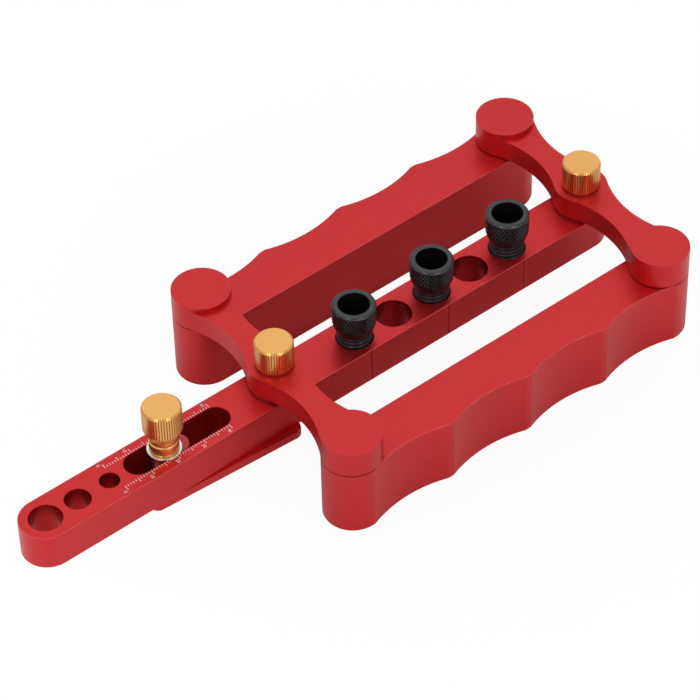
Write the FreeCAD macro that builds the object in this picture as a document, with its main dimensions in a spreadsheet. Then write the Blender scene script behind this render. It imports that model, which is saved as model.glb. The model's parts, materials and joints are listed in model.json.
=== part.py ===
import FreeCAD, Part
import Sketcher
import math
import os

# Self centering doweling jig. Millimetres, +X towards the rear of the bar, +Y to its left, +Z up.
# The origin is the drilling datum: the middle bush's axis, where it meets the bar's underside.
# Two equal links turn on the bar and carry a rail each side: a parallelogram about that origin.

SIZES = (
    # linkage
    ("pivot_spacing", 128, "front link's pivot to rear link's pivot, along the bar"),
    ("link_span", 80, "left rail's pivot to right rail's pivot, along a link"),
    ("rest_skew", 2.8, "degrees the links lean from square as the jig is left"),
    ("lobe_radius", 9.65, "links' outer lobes, and the rails' rounded ends"),
    ("hub_radius", 8.8, "links' middle lobe"),
    ("waist_radius", 33, "hollow curve between a link's lobes"),
    ("web_thickness", 7.7, "link between its lobes"),
    ("disc_rise", 1.8, "discs of the outer lobes above the web"),
    # rails
    ("rail_height", 24, "rail, from its sole to its top"),
    ("scallop_count", 4, "finger scallops along a rail"),
    ("scallop_depth", 2.6, "depth of a scallop"),
    ("scallop_radius", 44, "curve of a scallop"),
    # drill bushes
    ("bush_bore", 10, "drill guide bore"),
    ("bush_wall", 0.9, "bush from its bore to its thread's crests"),
    ("bush_head_step", 1.3, "knurled head beyond the thread, all round"),
    ("bush_length", 27.3, "bush, end to end"),
    ("bush_head_length", 7.9, "knurled head, along"),
    ("bush_cone_length", 1.8, "cone from the thread out to the head"),
    ("bush_head_bevel", 1.2, "bevel round the top of the head"),
    ("thread_pitch", 1.5, "bush thread"),
    ("thread_depth", 0.5, "bush thread, crest to root"),
    ("rear_bush_rise", 0.7, "rear bush's foot above the bar's underside"),
    # bar
    ("bar_height", 13, "bar, from underside to top"),
    ("bar_wall", 2.6, "bar beside a bush hole"),
    ("guide_pitch", 16, "between bush holes"),
    ("guide_pairs", 2, "bush holes each side of the middle one"),
    # arm, from the front pivot out to its tip
    ("slot_inset", 19.2, "front pivot to the slot's rear end"),
    ("slot_length", 38.9, "slot, end to end"),
    ("slot_width", 9.3, "slot, across"),
    ("slot_wall", 3.35, "slot's front end to the smallest dowel hole"),
    ("dowel_small", 6.2, "inner dowel hole, for 6 mm dowels"),
    ("dowel_medium", 8.2, "next dowel hole, for 8 mm dowels"),
    ("dowel_large", 10.4, "end dowel hole, for 10 mm dowels"),
    ("dowel_pitch", 12, "between dowel holes"),
    # thumb knobs
    ("knob_diameter", 12.6, "knurled head of a thumb knob"),
    ("knob_height", 9.2, "knurled head, along"),
    ("knob_bevel", 0.6, "bevel round the top of a knob"),
    ("shoulder_diameter", 9.5, "plain shoulder under a knob's head, where a link turns"),
    ("stud_diameter", 6, "studs of the thumb knobs"),
    ("stud_grip", 6, "stud inside a knob's head"),
    ("stud_setback", 2.5, "link knob's stud stops short of the bar's underside"),
    ("knob_washer_rim", 0.9, "ring of the washer under a link knob"),
    ("knob_washer_thickness", 0.4, "washer under a link knob"),
    ("spacer_rim", 3.2, "ring of the spacer between the bar and a link"),
    ("spacer_thickness", 1, "spacer between the bar and a link"),
    ("arm_cone_length", 3, "arm knob, cone under the head"),
    ("arm_groove_depth", 0.6, "arm knob, groove of its waist"),
    ("arm_groove_length", 1.6, "arm knob, groove, along"),
    ("arm_flange_length", 4, "arm knob, below the groove"),
    ("arm_washer_rim", 2.55, "ring of the washer on the slot"),
    ("arm_washer_thickness", 0.5, "washer on the slot"),
    # rail pivots
    ("pivot_diameter", 6, "shoulder of a rail pivot screw"),
    ("pivot_thread", 5, "thread of a rail pivot screw"),
    ("pivot_thread_length", 6, "thread of a rail pivot screw"),
    ("pivot_head", 10, "head of a rail pivot screw"),
    ("pivot_head_height", 4.5, "head of a rail pivot screw"),
    ("pivot_head_setback", 1.4, "head inside the rail's sole"),
    ("hex_across", 4, "hexagon socket, across flats"),
    ("hex_depth", 2.5, "hexagon socket"),
    ("rail_washer_rim", 3.95, "ring of the washer between a rail and a link"),
    ("rail_washer_thickness", 0.4, "washer between a rail and a link"),
    # stop
    ("stop_setback", 9.85, "stop's stud behind the foremost place the slot allows"),
    ("plate_front", 10, "stop plate ahead of its stud"),
    ("plate_rear", 46.4, "stop plate behind its stud"),
    ("plate_width", 17, "stop plate, across"),
    ("plate_thickness", 3, "stop plate"),
    ("plate_corner", 3, "rounding of the stop plate's corners"),
    ("key_slack", 0.29, "key of the stop plate to the slot's wall, each side"),
    ("key_offset", 4, "stud to the centre of the key's rear round"),
    ("key_drop", 0.4, "top of the key below the top of the bar"),
    ("stop_head", 11, "countersunk head of the stop's stud"),
    ("stop_head_height", 2.5, "countersunk head of the stop's stud"),
    # clearances and edges
    ("running_gap", 0.05, "radial clearance of everything that turns, slides or screws"),
    ("end_gap", 0.1, "end clearance of shoulders and heads"),
    ("edge_break", 0.3, "broken edges of bar, links and rails"),
)

# Edges within this distance of a height count as lying at it.
LEVEL_TOLERANCE = 0.001

doc = FreeCAD.newDocument("doweling_jig")


class Size:
    """A length or an angle in degrees: its value, and the expression that ties it to the sheet."""

    def __init__(self, value, text):
        self.value = value
        self.text = text

    def __add__(self, other):
        other = size(other)
        return Size(self.value + other.value, f"({self.text} + {other.text})")

    def __sub__(self, other):
        other = size(other)
        return Size(self.value - other.value, f"({self.text} - {other.text})")

    def __mul__(self, other):
        other = size(other)
        return Size(self.value * other.value, f"({self.text} * {other.text})")

    def __truediv__(self, other):
        other = size(other)
        return Size(self.value / other.value, f"({self.text} / {other.text})")

    def __neg__(self):
        return size(0) - self


def size(thing):
    return thing if isinstance(thing, Size) else Size(float(thing), f"{thing}")


def sine(angle):
    return Size(math.sin(math.radians(angle.value)), f"sin({angle.text} * 1 deg)")


def cosine(angle):
    return Size(math.cos(math.radians(angle.value)), f"cos({angle.text} * 1 deg)")


def arcsine(ratio):
    return Size(math.degrees(math.asin(ratio.value)), f"(asin({ratio.text}) / 1 deg)")


def sheet_of_sizes():
    """The driving dimensions: name, value and meaning, one row each."""
    sheet = doc.addObject("Spreadsheet::Sheet", "Sizes")
    for row, (name, value, meaning) in enumerate(SIZES, start=1):
        sheet.set(f"A{row}", name)
        sheet.set(f"B{row}", str(value))
        sheet.setAlias(f"B{row}", name)
        sheet.set(f"C{row}", meaning)
    doc.recompute()
    return {name: Size(float(sheet.get(name)), f"Sizes.{name}") for name, value, meaning in SIZES}


S = sheet_of_sizes()

# Holes, each the size of what turns, slides or screws in it and its running clearance.
BUSH_THREAD = S["bush_bore"] + S["bush_wall"] * 2
GUIDE_HOLE = BUSH_THREAD + S["running_gap"] * 2
STUD_HOLE = S["stud_diameter"] + S["running_gap"] * 2
SHOULDER_HOLE = S["shoulder_diameter"] + S["running_gap"] * 2
PIVOT_HOLE = S["pivot_diameter"] + S["running_gap"] * 2

# Heights above the bar's underside. The rails hang from the links.
BAR_TOP = S["bar_height"]
LINK_UNDERSIDE = BAR_TOP + S["spacer_thickness"]
LINK_TOP = LINK_UNDERSIDE + S["web_thickness"]
RAIL_TOP = LINK_UNDERSIDE - S["rail_washer_thickness"]
RAIL_SOLE = RAIL_TOP - S["rail_height"]
ARM_KNOB_SEAT = BAR_TOP + S["arm_washer_thickness"]
ARM_KNOB_NECK = S["arm_flange_length"] + S["arm_groove_length"] + S["arm_cone_length"]

# Places along the bar, and how far a rail's pivots swing from the bar's own.
BAR_RADIUS = GUIDE_HOLE / 2 + S["bar_wall"]
REAR_X = S["pivot_spacing"] / 2
FRONT_X = -REAR_X
SLOT_RADIUS = S["slot_width"] / 2
SLOT_REAR_X = FRONT_X - S["slot_inset"]
SLOT_FRONT_X = SLOT_REAR_X - S["slot_length"]
SMALL_X = SLOT_FRONT_X - S["slot_wall"] - S["dowel_small"] / 2
TIP_X = SMALL_X - S["dowel_pitch"] * 2
STOP_X = SLOT_FRONT_X + SLOT_RADIUS + S["stop_setback"]
SWING_X = S["link_span"] / 2 * sine(S["rest_skew"])
SWING_Y = S["link_span"] / 2 * cosine(S["rest_skew"])

# The stop plate hangs askew until its key is a running clearance from the slot's wall.
STOP_SKEW = arcsine((S["key_slack"] - S["running_gap"]) / S["key_offset"])

parts = []


# ---- drawing helpers -------------------------------------------------------------------------

def tie(feature, prop, thing):
    feature.setExpression(prop, size(thing).text)


def new_body(name):
    body = doc.addObject("PartDesign::Body", name)
    body.Label = name
    parts.append(body)
    return body


def new_sketch(body, name, role="XY_Plane", height=None):
    """An empty sketch on one of the body's own origin planes, lifted along its normal."""
    sketch = body.newObject("Sketcher::SketchObject", name)
    plane = next(feature for feature in body.Origin.OriginFeatures if feature.Role == role)
    sketch.AttachmentSupport = [(plane, "")]
    sketch.MapMode = "FlatFace"
    if height is not None:
        tie(sketch, "AttachmentOffset.Base.z", height)
    return sketch


def dimension(sketch, kind, where, thing):
    """One dimension of a sketch, tied to the sheet."""
    index = sketch.addConstraint(Sketcher.Constraint(kind, *where, size(thing).value))
    tie(sketch, f"Constraints[{index}]", thing)


def pin_point(sketch, geometry, point, x, y):
    dimension(sketch, "DistanceX", (geometry, point), x)
    dimension(sketch, "DistanceY", (geometry, point), y)


def polygon(sketch, corners):
    """A closed run of straight lines with every corner dimensioned from the origin."""
    corners = [(size(x), size(y)) for x, y in corners]
    points = [FreeCAD.Vector(x.value, y.value, 0) for x, y in corners]
    for start, end in zip(points, points[1:] + points[:1]):
        sketch.addGeometry(Part.LineSegment(start, end), False)
    for index, (x, y) in enumerate(corners):
        following = (index + 1) % len(corners)
        sketch.addConstraint(Sketcher.Constraint("Coincident", index, 2, following, 1))
        pin_point(sketch, index, 1, x, y)


def full_circle(x, y, radius):
    return Part.Circle(FreeCAD.Vector(x, y, 0), FreeCAD.Vector(0, 0, 1), radius)


def arc(x, y, radius, start, end):
    """A counter-clockwise arc between two directions in radians."""
    return Part.ArcOfCircle(full_circle(x, y, radius), start, end)


def circle(sketch, x, y, diameter):
    index = sketch.addGeometry(full_circle(size(x).value, size(y).value, diameter.value / 2), False)
    pin_point(sketch, index, 3, x, y)
    dimension(sketch, "Diameter", (index,), diameter)


def capsule(sketch, x_low, x_high, radius):
    """Two half rounds on the X axis, joined by straight sides."""
    low, high, r = size(x_low).value, size(x_high).value, radius.value
    quarter = math.pi / 2
    left = sketch.addGeometry(arc(low, 0, r, quarter, 3 * quarter), False)
    right = sketch.addGeometry(arc(high, 0, r, -quarter, quarter), False)
    under = (FreeCAD.Vector(low, -r, 0), FreeCAD.Vector(high, -r, 0))
    over = (FreeCAD.Vector(high, r, 0), FreeCAD.Vector(low, r, 0))
    bottom = sketch.addGeometry(Part.LineSegment(*under), False)
    top = sketch.addGeometry(Part.LineSegment(*over), False)
    for meeting in ((left, 2, bottom, 1), (bottom, 2, right, 1), (right, 2, top, 1), (top, 2, left, 1)):
        sketch.addConstraint(Sketcher.Constraint("Tangent", *meeting))
    pin_point(sketch, left, 3, x_low, 0)
    pin_point(sketch, right, 3, x_high, 0)
    dimension(sketch, "Radius", (left,), radius)
    dimension(sketch, "Radius", (right,), radius)


# ---- feature helpers -------------------------------------------------------------------------

def pad(body, sketch, length):
    feature = body.newObject("PartDesign::Pad", f"{sketch.Name}_pad")
    feature.Profile = sketch
    tie(feature, "Length", length)
    doc.recompute()
    return feature


def pocket(body, sketch, depth=None, downwards=True):
    """Cuts from the sketch's plane, down or up. Without a depth it goes right through."""
    before = body.Shape.Volume
    feature = body.newObject("PartDesign::Pocket", f"{sketch.Name}_pocket")
    feature.Profile = sketch
    feature.Reversed = not downwards
    if depth is None:
        feature.Type = "ThroughAll"
    else:
        tie(feature, "Length", depth)
    doc.recompute()
    if not body.Shape.Volume < before:
        raise RuntimeError(f"{feature.Name} cuts nothing")
    return feature


def repeat_along_x(body, feature, sketch, pitch, count):
    pattern = body.newObject("PartDesign::LinearPattern", f"{feature.Name}_row")
    pattern.Originals = [feature]
    pattern.Direction = (sketch, ["H_Axis"])
    tie(pattern, "Length", pitch * (count - 1))
    tie(pattern, "Occurrences", count)
    body.Tip = pattern
    doc.recompute()
    return pattern


def turned(body, corners):
    """A solid of revolution about Z from half its section in X and Z."""
    sketch = new_sketch(body, f"{body.Name}_section", "XZ_Plane")
    polygon(sketch, corners)
    feature = body.newObject("PartDesign::Revolution", f"{body.Name}_turned")
    feature.Profile = sketch
    feature.ReferenceAxis = (sketch, ["V_Axis"])
    feature.Angle = 360
    doc.recompute()


def edges_where(feature, wanted):
    return [f"Edge{index}" for index, edge in enumerate(feature.Shape.Edges, start=1) if wanted(edge)]


def break_edges(body, feature, heights):
    """A small chamfer on every edge of a feature that lies level at one of the heights."""
    levels = [size(height).value for height in heights]

    def is_level(edge):
        box = edge.BoundBox
        return any(max(abs(box.ZMin - z), abs(box.ZMax - z)) < LEVEL_TOLERANCE for z in levels)

    chamfer = body.newObject("PartDesign::Chamfer", f"{feature.Name}_edges")
    chamfer.Base = (feature, edges_where(feature, is_level))
    tie(chamfer, "Size", S["edge_break"])
    doc.recompute()


def place(feature, x, y, z, turn=0):
    at = "; ".join(size(thing).text for thing in (x, y, z))
    turning = f"rotation(vector(0; 0; 1); {size(turn).text})"
    feature.setExpression("Placement", f"placement(vector({at}); {turning})")


def ring(name, inside, rim, thickness, x, y, z):
    """A plain washer or spacer: its hole's diameter, then the width of its ring."""
    disc = doc.addObject("Part::Cylinder", f"{name}_disc")
    tie(disc, "Radius", inside / 2 + rim)
    tie(disc, "Height", thickness)
    hole = doc.addObject("Part::Cylinder", f"{name}_hole")
    tie(hole, "Radius", inside / 2)
    tie(hole, "Height", thickness)
    washer = doc.addObject("Part::Cut", name)
    washer.Base = disc
    washer.Tool = hole
    washer.Label = name
    place(washer, x, y, z)
    parts.append(washer)


# ---- pieces ----------------------------------------------------------------------------------

def centre_bar():
    """Half-round ended bar: bush holes, link stud holes, dowel holes and the slot of the arm."""
    body = new_body("centre_bar")
    outline = new_sketch(body, "bar_outline")
    capsule(outline, TIP_X, REAR_X, BAR_RADIUS)
    blank = pad(body, outline, BAR_TOP)
    break_edges(body, blank, (0, BAR_TOP))

    guides = new_sketch(body, "guide_hole", height=BAR_TOP)
    circle(guides, -S["guide_pitch"] * S["guide_pairs"], 0, GUIDE_HOLE)
    cut = pocket(body, guides)
    repeat_along_x(body, cut, guides, S["guide_pitch"], S["guide_pairs"] * 2 + 1)

    holes = new_sketch(body, "arm_holes", height=BAR_TOP)
    circle(holes, TIP_X, 0, S["dowel_large"])
    circle(holes, TIP_X + S["dowel_pitch"], 0, S["dowel_medium"])
    circle(holes, SMALL_X, 0, S["dowel_small"])
    circle(holes, FRONT_X, 0, STUD_HOLE)
    circle(holes, REAR_X, 0, STUD_HOLE)
    pocket(body, holes)

    slot = new_sketch(body, "arm_slot", height=BAR_TOP)
    capsule(slot, SLOT_FRONT_X + SLOT_RADIUS, SLOT_REAR_X - SLOT_RADIUS, SLOT_RADIUS)
    pocket(body, slot)


def link_outline(sketch):
    """Middle lobe and two outer lobes on the Y axis, joined by hollow curves tangent to both."""
    half = S["link_span"].value / 2
    hub, lobe, hollow = S["hub_radius"].value, S["lobe_radius"].value, S["waist_radius"].value
    along = (half ** 2 + (hub + hollow) ** 2 - (lobe + hollow) ** 2) / (2 * half)
    aside = math.sqrt((hub + hollow) ** 2 - along ** 2)
    # Directions, from the X axis, of the line from a hollow's centre to the hub's and to a lobe's.
    to_hub = math.atan2(along, aside)
    to_lobe = math.atan2(half - along, aside)
    turn = math.pi

    # Round the outline from the left lobe, anticlockwise: curve, radius, and centre on the Y axis.
    rounds = (
        (arc(0, half, lobe, -to_lobe, turn + to_lobe), "lobe_radius", S["link_span"] / 2),
        (arc(-aside, along, hollow, -to_hub, to_lobe), "waist_radius", None),
        (arc(0, 0, hub, turn - to_hub, turn + to_hub), "hub_radius", 0),
        (arc(-aside, -along, hollow, -to_lobe, to_hub), "waist_radius", None),
        (arc(0, -half, lobe, turn - to_lobe, 2 * turn + to_lobe), "lobe_radius", -S["link_span"] / 2),
        (arc(aside, -along, hollow, turn - to_hub, turn + to_lobe), "waist_radius", None),
        (arc(0, 0, hub, -to_hub, to_hub), "hub_radius", 0),
        (arc(aside, along, hollow, turn - to_lobe, turn + to_hub), "waist_radius", None),
    )
    for curve, radius, centre_y in rounds:
        sketch.addGeometry(curve, False)
    for index, (curve, radius, centre_y) in enumerate(rounds):
        following = (index + 1) % len(rounds)
        # Lobes and hub are run through from point 1 to point 2, and hollows the other way.
        leave, enter = (1, 1) if index % 2 else (2, 2)
        sketch.addConstraint(Sketcher.Constraint("Tangent", index, leave, following, enter))
        dimension(sketch, "Radius", (index,), S[radius])
        if centre_y is not None:
            pin_point(sketch, index, 3, 0, centre_y)


def link(name, pivot_x):
    """Three-lobed link: a shoulder bore in the middle, a disc and a blind thread at each end."""
    body = new_body(name)
    half_span = S["link_span"] / 2
    outline = new_sketch(body, f"{name}_outline")
    link_outline(outline)
    pad(body, outline, S["web_thickness"])
    discs = new_sketch(body, f"{name}_discs", height=S["web_thickness"])
    threads = new_sketch(body, f"{name}_threads")
    for y in (half_span, -half_span):
        circle(discs, 0, y, S["lobe_radius"] * 2)
        circle(threads, 0, y, S["pivot_thread"])
    raised = pad(body, discs, S["disc_rise"])
    break_edges(body, raised, (0, S["web_thickness"] + S["disc_rise"]))
    bore = new_sketch(body, f"{name}_bore", height=S["web_thickness"])
    circle(bore, 0, 0, SHOULDER_HOLE)
    pocket(body, bore)
    pocket(body, threads, S["pivot_thread_length"], downwards=False)
    place(body, pivot_x, 0, LINK_UNDERSIDE, -S["rest_skew"])


def rail(name, side):
    """Straight inside, scalloped outside, with a counterbored pivot hole at each end."""
    body = new_body(name)
    outline = new_sketch(body, f"{name}_outline")
    capsule(outline, FRONT_X, REAR_X, S["lobe_radius"])
    pad(body, outline, S["rail_height"])
    grip = new_sketch(body, f"{name}_scallop", height=S["rail_height"])
    pitch = S["pivot_spacing"] / S["scallop_count"]
    centre_y = S["lobe_radius"] - S["scallop_depth"] + S["scallop_radius"]
    circle(grip, FRONT_X + pitch / 2, centre_y, S["scallop_radius"] * 2)
    cut = pocket(body, grip)
    row = repeat_along_x(body, cut, grip, pitch, S["scallop_count"])
    break_edges(body, row, (0, S["rail_height"]))
    holes = new_sketch(body, f"{name}_pivot_holes")
    recesses = new_sketch(body, f"{name}_head_recesses")
    for pivot_x in (FRONT_X, REAR_X):
        circle(holes, pivot_x, 0, PIVOT_HOLE)
        circle(recesses, pivot_x, 0, S["pivot_head"] + S["end_gap"] * 2)
    recess_depth = S["pivot_head_setback"] + S["pivot_head_height"] + S["end_gap"]
    pocket(body, holes, downwards=False)
    pocket(body, recesses, recess_depth, downwards=False)
    place(body, SWING_X * side, SWING_Y * side, RAIL_SOLE, 0 if side > 0 else 180)


def pivot_screw(name, x, y):
    """Shoulder screw from a rail's sole: the rail turns on it, its thread holds in the link."""
    body = new_body(name)
    head, shoulder, thread = S["pivot_head"] / 2, S["pivot_diameter"] / 2, S["pivot_thread"] / 2
    head_end = S["pivot_head_height"]
    shoulder_end = LINK_UNDERSIDE - RAIL_SOLE - S["pivot_head_setback"]
    thread_end = shoulder_end + S["pivot_thread_length"]
    turned(body, (
        (0, 0), (head, 0), (head, head_end), (shoulder, head_end),
        (shoulder, shoulder_end), (thread, shoulder_end), (thread, thread_end), (0, thread_end),
    ))
    socket = new_sketch(body, f"{name}_socket")
    flat = S["hex_across"] / 2
    corner = flat / math.sqrt(3)
    polygon(socket, (
        (flat, -corner), (flat, corner), (0, corner * 2),
        (-flat, corner), (-flat, -corner), (0, -corner * 2),
    ))
    pocket(body, socket, S["hex_depth"], downwards=False)
    place(body, x, y, RAIL_SOLE + S["pivot_head_setback"])


def link_knob(end, x):
    """Thumb knob with the shoulder that the link turns on, its stud and its washer."""
    seat = LINK_TOP + S["knob_washer_thickness"]
    body = new_body(f"{end}_knob")
    knob, shoulder, stud = S["knob_diameter"] / 2, S["shoulder_diameter"] / 2, S["stud_diameter"] / 2
    shoulder_end = BAR_TOP + S["end_gap"] - seat
    top, bevel = S["knob_height"], S["knob_bevel"]
    turned(body, (
        (stud, shoulder_end), (shoulder, shoulder_end), (shoulder, 0), (knob, 0),
        (knob, top - bevel), (knob - bevel, top), (0, top), (0, S["stud_grip"]), (stud, S["stud_grip"]),
    ))
    place(body, x, 0, seat)
    rod = doc.addObject("Part::Cylinder", f"{end}_knob_stud")
    rod.Label = f"{end}_knob_stud"
    tie(rod, "Radius", stud)
    tie(rod, "Height", seat + S["stud_grip"] - S["stud_setback"])
    place(rod, x, 0, S["stud_setback"])
    parts.append(rod)
    washer = S["knob_washer_thickness"]
    ring(f"{end}_knob_washer", SHOULDER_HOLE, S["knob_washer_rim"], washer, x, 0, LINK_TOP)


def arm_knob():
    """Thumb nut of the stop: knurled head, cone, grooved waist and flange, bored for its stud."""
    body = new_body("arm_knob")
    knob, neck, bore = S["knob_diameter"] / 2, S["shoulder_diameter"] / 2, STUD_HOLE / 2
    waist = neck - S["arm_groove_depth"]
    groove = S["arm_flange_length"]
    groove_end = groove + S["arm_groove_length"]
    bore_end = ARM_KNOB_NECK + S["stud_grip"]
    top, bevel = ARM_KNOB_NECK + S["knob_height"], S["knob_bevel"]
    turned(body, (
        (bore, 0), (neck, 0), (neck, groove), (waist, groove), (waist, groove_end), (neck, groove_end),
        (knob, ARM_KNOB_NECK), (knob, top - bevel), (knob - bevel, top), (0, top),
        (0, bore_end), (bore, bore_end),
    ))
    place(body, STOP_X, 0, ARM_KNOB_SEAT)


def bush(name, x, foot):
    """Screw-in drill bush: thread, cone, knurled head with a bevelled top, straight bore."""
    body = new_body(name)
    bore, crest = S["bush_bore"] / 2, BUSH_THREAD / 2
    root, head = crest - S["thread_depth"], crest + S["bush_head_step"]
    top, bevel, pitch = S["bush_length"], S["bush_head_bevel"], S["thread_pitch"]
    head_start = top - S["bush_head_length"]
    thread_end = head_start - S["bush_cone_length"]
    corners = [(bore, 0), (crest, 0)]
    for groove in range(int(thread_end.value / pitch.value)):
        start = pitch * (groove + 0.5)
        corners += [(crest, start), (root, start + pitch / 4), (crest, start + pitch / 2)]
    corners += [(crest, thread_end), (head, head_start), (head, top - bevel), (head - bevel, top)]
    corners += [(bore, top)]
    turned(body, corners)
    place(body, x, 0, foot)


def stop_plate():
    """Stop plate under the arm, with the key that runs in the slot and the stud's countersink."""
    body = new_body("stop_plate")
    front, rear, half = -S["plate_front"], S["plate_rear"], S["plate_width"] / 2
    outline = new_sketch(body, "plate_outline")
    polygon(outline, ((front, -half), (rear, -half), (rear, half), (front, half)))
    plate = pad(body, outline, S["plate_thickness"])
    corners = body.newObject("PartDesign::Fillet", "plate_corners")
    corners.Base = (plate, edges_where(plate, lambda edge: edge.BoundBox.ZLength > LEVEL_TOLERANCE))
    tie(corners, "Radius", S["plate_corner"])
    doc.recompute()
    key = new_sketch(body, "plate_key", height=S["plate_thickness"])
    capsule(key, 0, S["key_offset"], SLOT_RADIUS - S["key_slack"])
    pad(body, key, BAR_TOP - S["key_drop"])
    hole = new_sketch(body, "plate_stud_hole")
    circle(hole, 0, 0, STUD_HOLE)
    pocket(body, hole, downwards=False)
    sink = new_sketch(body, "plate_countersink", "XZ_Plane")
    mouth, sink_end = (S["stop_head"] + STUD_HOLE - S["stud_diameter"]) / 2, S["stop_head_height"]
    polygon(sink, ((0, 0), (mouth, 0), (STUD_HOLE / 2, sink_end), (0, sink_end)))
    cut = body.newObject("PartDesign::Groove", "plate_countersink_cut")
    cut.Profile = sink
    cut.ReferenceAxis = (sink, ["V_Axis"])
    cut.Angle = 360
    doc.recompute()
    place(body, STOP_X, 0, -S["plate_thickness"], -STOP_SKEW)


def stop_stud():
    """Countersunk stud that stands in the stop plate and carries the arm knob."""
    body = new_body("stop_stud")
    stud, head, neck_start = S["stud_diameter"] / 2, S["stop_head"] / 2, S["stop_head_height"]
    top = S["plate_thickness"] + ARM_KNOB_SEAT + ARM_KNOB_NECK + S["stud_grip"] - S["end_gap"]
    turned(body, ((0, 0), (head, 0), (stud, neck_start), (stud, top), (0, top)))
    place(body, STOP_X, 0, -S["plate_thickness"])


def build():
    centre_bar()
    for end, pivot_x in (("front", FRONT_X), ("rear", REAR_X)):
        link(f"{end}_link", pivot_x)
        spacer = S["spacer_thickness"]
        ring(f"{end}_spacer", SHOULDER_HOLE, S["spacer_rim"], spacer, pivot_x, 0, BAR_TOP)
        link_knob(end, pivot_x)
        for side, sign in (("left", 1), ("right", -1)):
            x, y = pivot_x + SWING_X * sign, SWING_Y * sign
            pivot_screw(f"{end}_{side}_pivot_screw", x, y)
            name, washer = f"{end}_{side}_rail_washer", S["rail_washer_thickness"]
            ring(name, PIVOT_HOLE, S["rail_washer_rim"], washer, x, y, RAIL_TOP)
    rail("left_rail", 1)
    rail("right_rail", -1)
    outer_bush = S["guide_pitch"] * S["guide_pairs"]
    bush("front_bush", -outer_bush, 0)
    bush("middle_bush", 0, 0)
    bush("rear_bush", outer_bush, S["rear_bush_rise"])
    stop_plate()
    stop_stud()
    ring("arm_washer", STUD_HOLE, S["arm_washer_rim"], S["arm_washer_thickness"], STOP_X, 0, BAR_TOP)
    arm_knob()
    doc.recompute()


def write():
    """Checks every object and every piece, then writes one STEP file for each piece."""
    for thing in doc.Objects:
        if "Invalid" in thing.State or "Error" in thing.State:
            raise RuntimeError(f"{thing.Name} failed: {thing.State}")
    for part in parts:
        shape = part.Shape
        if shape.isNull() or not shape.isValid() or len(shape.Solids) != 1:
            raise RuntimeError(f"{part.Label} is not one valid solid")
    os.makedirs("parts", exist_ok=True)
    for part in parts:
        part.Shape.exportStep(f"parts/{part.Label}.step")
    print(f"{len(parts)} pieces written")


build()
write()
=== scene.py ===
"""Dress of a self centering doweling jig: milled, turned and knurled pieces over its CAD frame.

Run as a script. Everything is in metres, in the frame of the CAD model: the middle bush stands on the
origin, +X runs to the rear link, +Y to the left rail and +Z up.
"""

import json
import math

import bmesh
import bpy
from bpy.props import FloatProperty, FloatVectorProperty, IntProperty, PointerProperty
from mathutils import Matrix, Vector


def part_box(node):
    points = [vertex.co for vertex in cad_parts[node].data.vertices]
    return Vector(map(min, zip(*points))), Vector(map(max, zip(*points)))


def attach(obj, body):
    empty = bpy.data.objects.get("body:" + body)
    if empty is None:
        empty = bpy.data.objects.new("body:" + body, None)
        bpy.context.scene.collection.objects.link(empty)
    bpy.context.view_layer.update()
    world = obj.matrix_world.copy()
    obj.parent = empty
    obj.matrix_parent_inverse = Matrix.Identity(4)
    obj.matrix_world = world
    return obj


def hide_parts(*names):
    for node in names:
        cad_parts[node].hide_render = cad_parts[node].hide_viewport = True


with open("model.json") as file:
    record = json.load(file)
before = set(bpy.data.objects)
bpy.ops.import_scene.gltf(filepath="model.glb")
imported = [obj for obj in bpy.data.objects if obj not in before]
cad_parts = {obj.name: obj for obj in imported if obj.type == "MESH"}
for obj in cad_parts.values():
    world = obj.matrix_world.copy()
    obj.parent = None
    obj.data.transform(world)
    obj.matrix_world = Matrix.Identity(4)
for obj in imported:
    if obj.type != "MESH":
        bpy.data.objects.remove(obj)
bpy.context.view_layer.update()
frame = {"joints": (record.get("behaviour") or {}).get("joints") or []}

bl_info = {
    "name": "Doweling jig",
    "version": (1, 0, 0),
    "blender": (4, 5, 0),
    "location": "View3D > Sidebar > Doweling jig",
    "description": "Models the pieces of a self centering doweling jig and gives them their finishes",
    "category": "Object",
}

MM = 0.001
MERGE = 0.002 * MM
# A cutter stands this far out of the piece that it cuts.
OVER = 1 * MM
# Faces that meet at more than this angle, in radians, make a sharp edge.
SHARP = 1.0
# Hexagon sockets measure this across their flats.
SOCKET = 4 * MM
# Linear grey that the edges' painted highlight leans to, and a wave texture's period in its own units.
HIGHLIGHT_GREY, WAVE_PERIOD = 0.85, math.tau / 20
# A red piece's first finish is that of its faces. Its broken edges, paler as a painted highlight, and its
# holes, darker as painted shade, take the next two, and the arm's slot and the key that runs in it the
# fourth, also darker as painted shade.
FACE, EDGE, BORE, SLOT = 0, 1, 2, 3
# A knob's top has the first finish, its flutes the second, darkened as painted shade, and its lands,
# bevel and neck the third.
FLUTE, POLISH = 1, 2
# A bush's second finish is that of the smooth ring round its mouth, a lighter copy of the black oxide:
# painted light on the bush's top.
RING = 1
BAR_LOW, BAR_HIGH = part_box("centre_bar")
BAR_TOP = BAR_HIGH.z
BAR_RADIUS = BAR_HIGH.y
LEFT_RAIL_LOW, LEFT_RAIL_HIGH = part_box("left_rail")
LINK_LOW, LINK_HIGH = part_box("front_link")
HINGES = {joint["name"]: Vector(joint["pos_m"]) for joint in frame["joints"] if "pos_m" in joint}


def linear(hex_colour):
    """Linear colour with alpha, from sRGB hex."""
    channels = [int(hex_colour[start:start + 2], 16) / 255 for start in (1, 3, 5)]
    curved = [c / 12.92 if c <= 0.04045 else ((c + 0.055) / 1.055) ** 2.4 for c in channels]
    return (*curved, 1.0)


def axis_of(node):
    """Upright centre line of a turned node: the point at its lowest level, its radius and its height."""
    low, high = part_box(node)
    centre = (low + high) / 2
    return Vector((centre.x, centre.y, low.z)), (high.x - low.x) / 2, high.z - low.z


def in_mm(name, description, size):
    """Length property whose default is given in millimetres."""
    return FloatProperty(
        name=name, description=description, default=size * MM, unit="LENGTH", precision=5)


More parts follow.
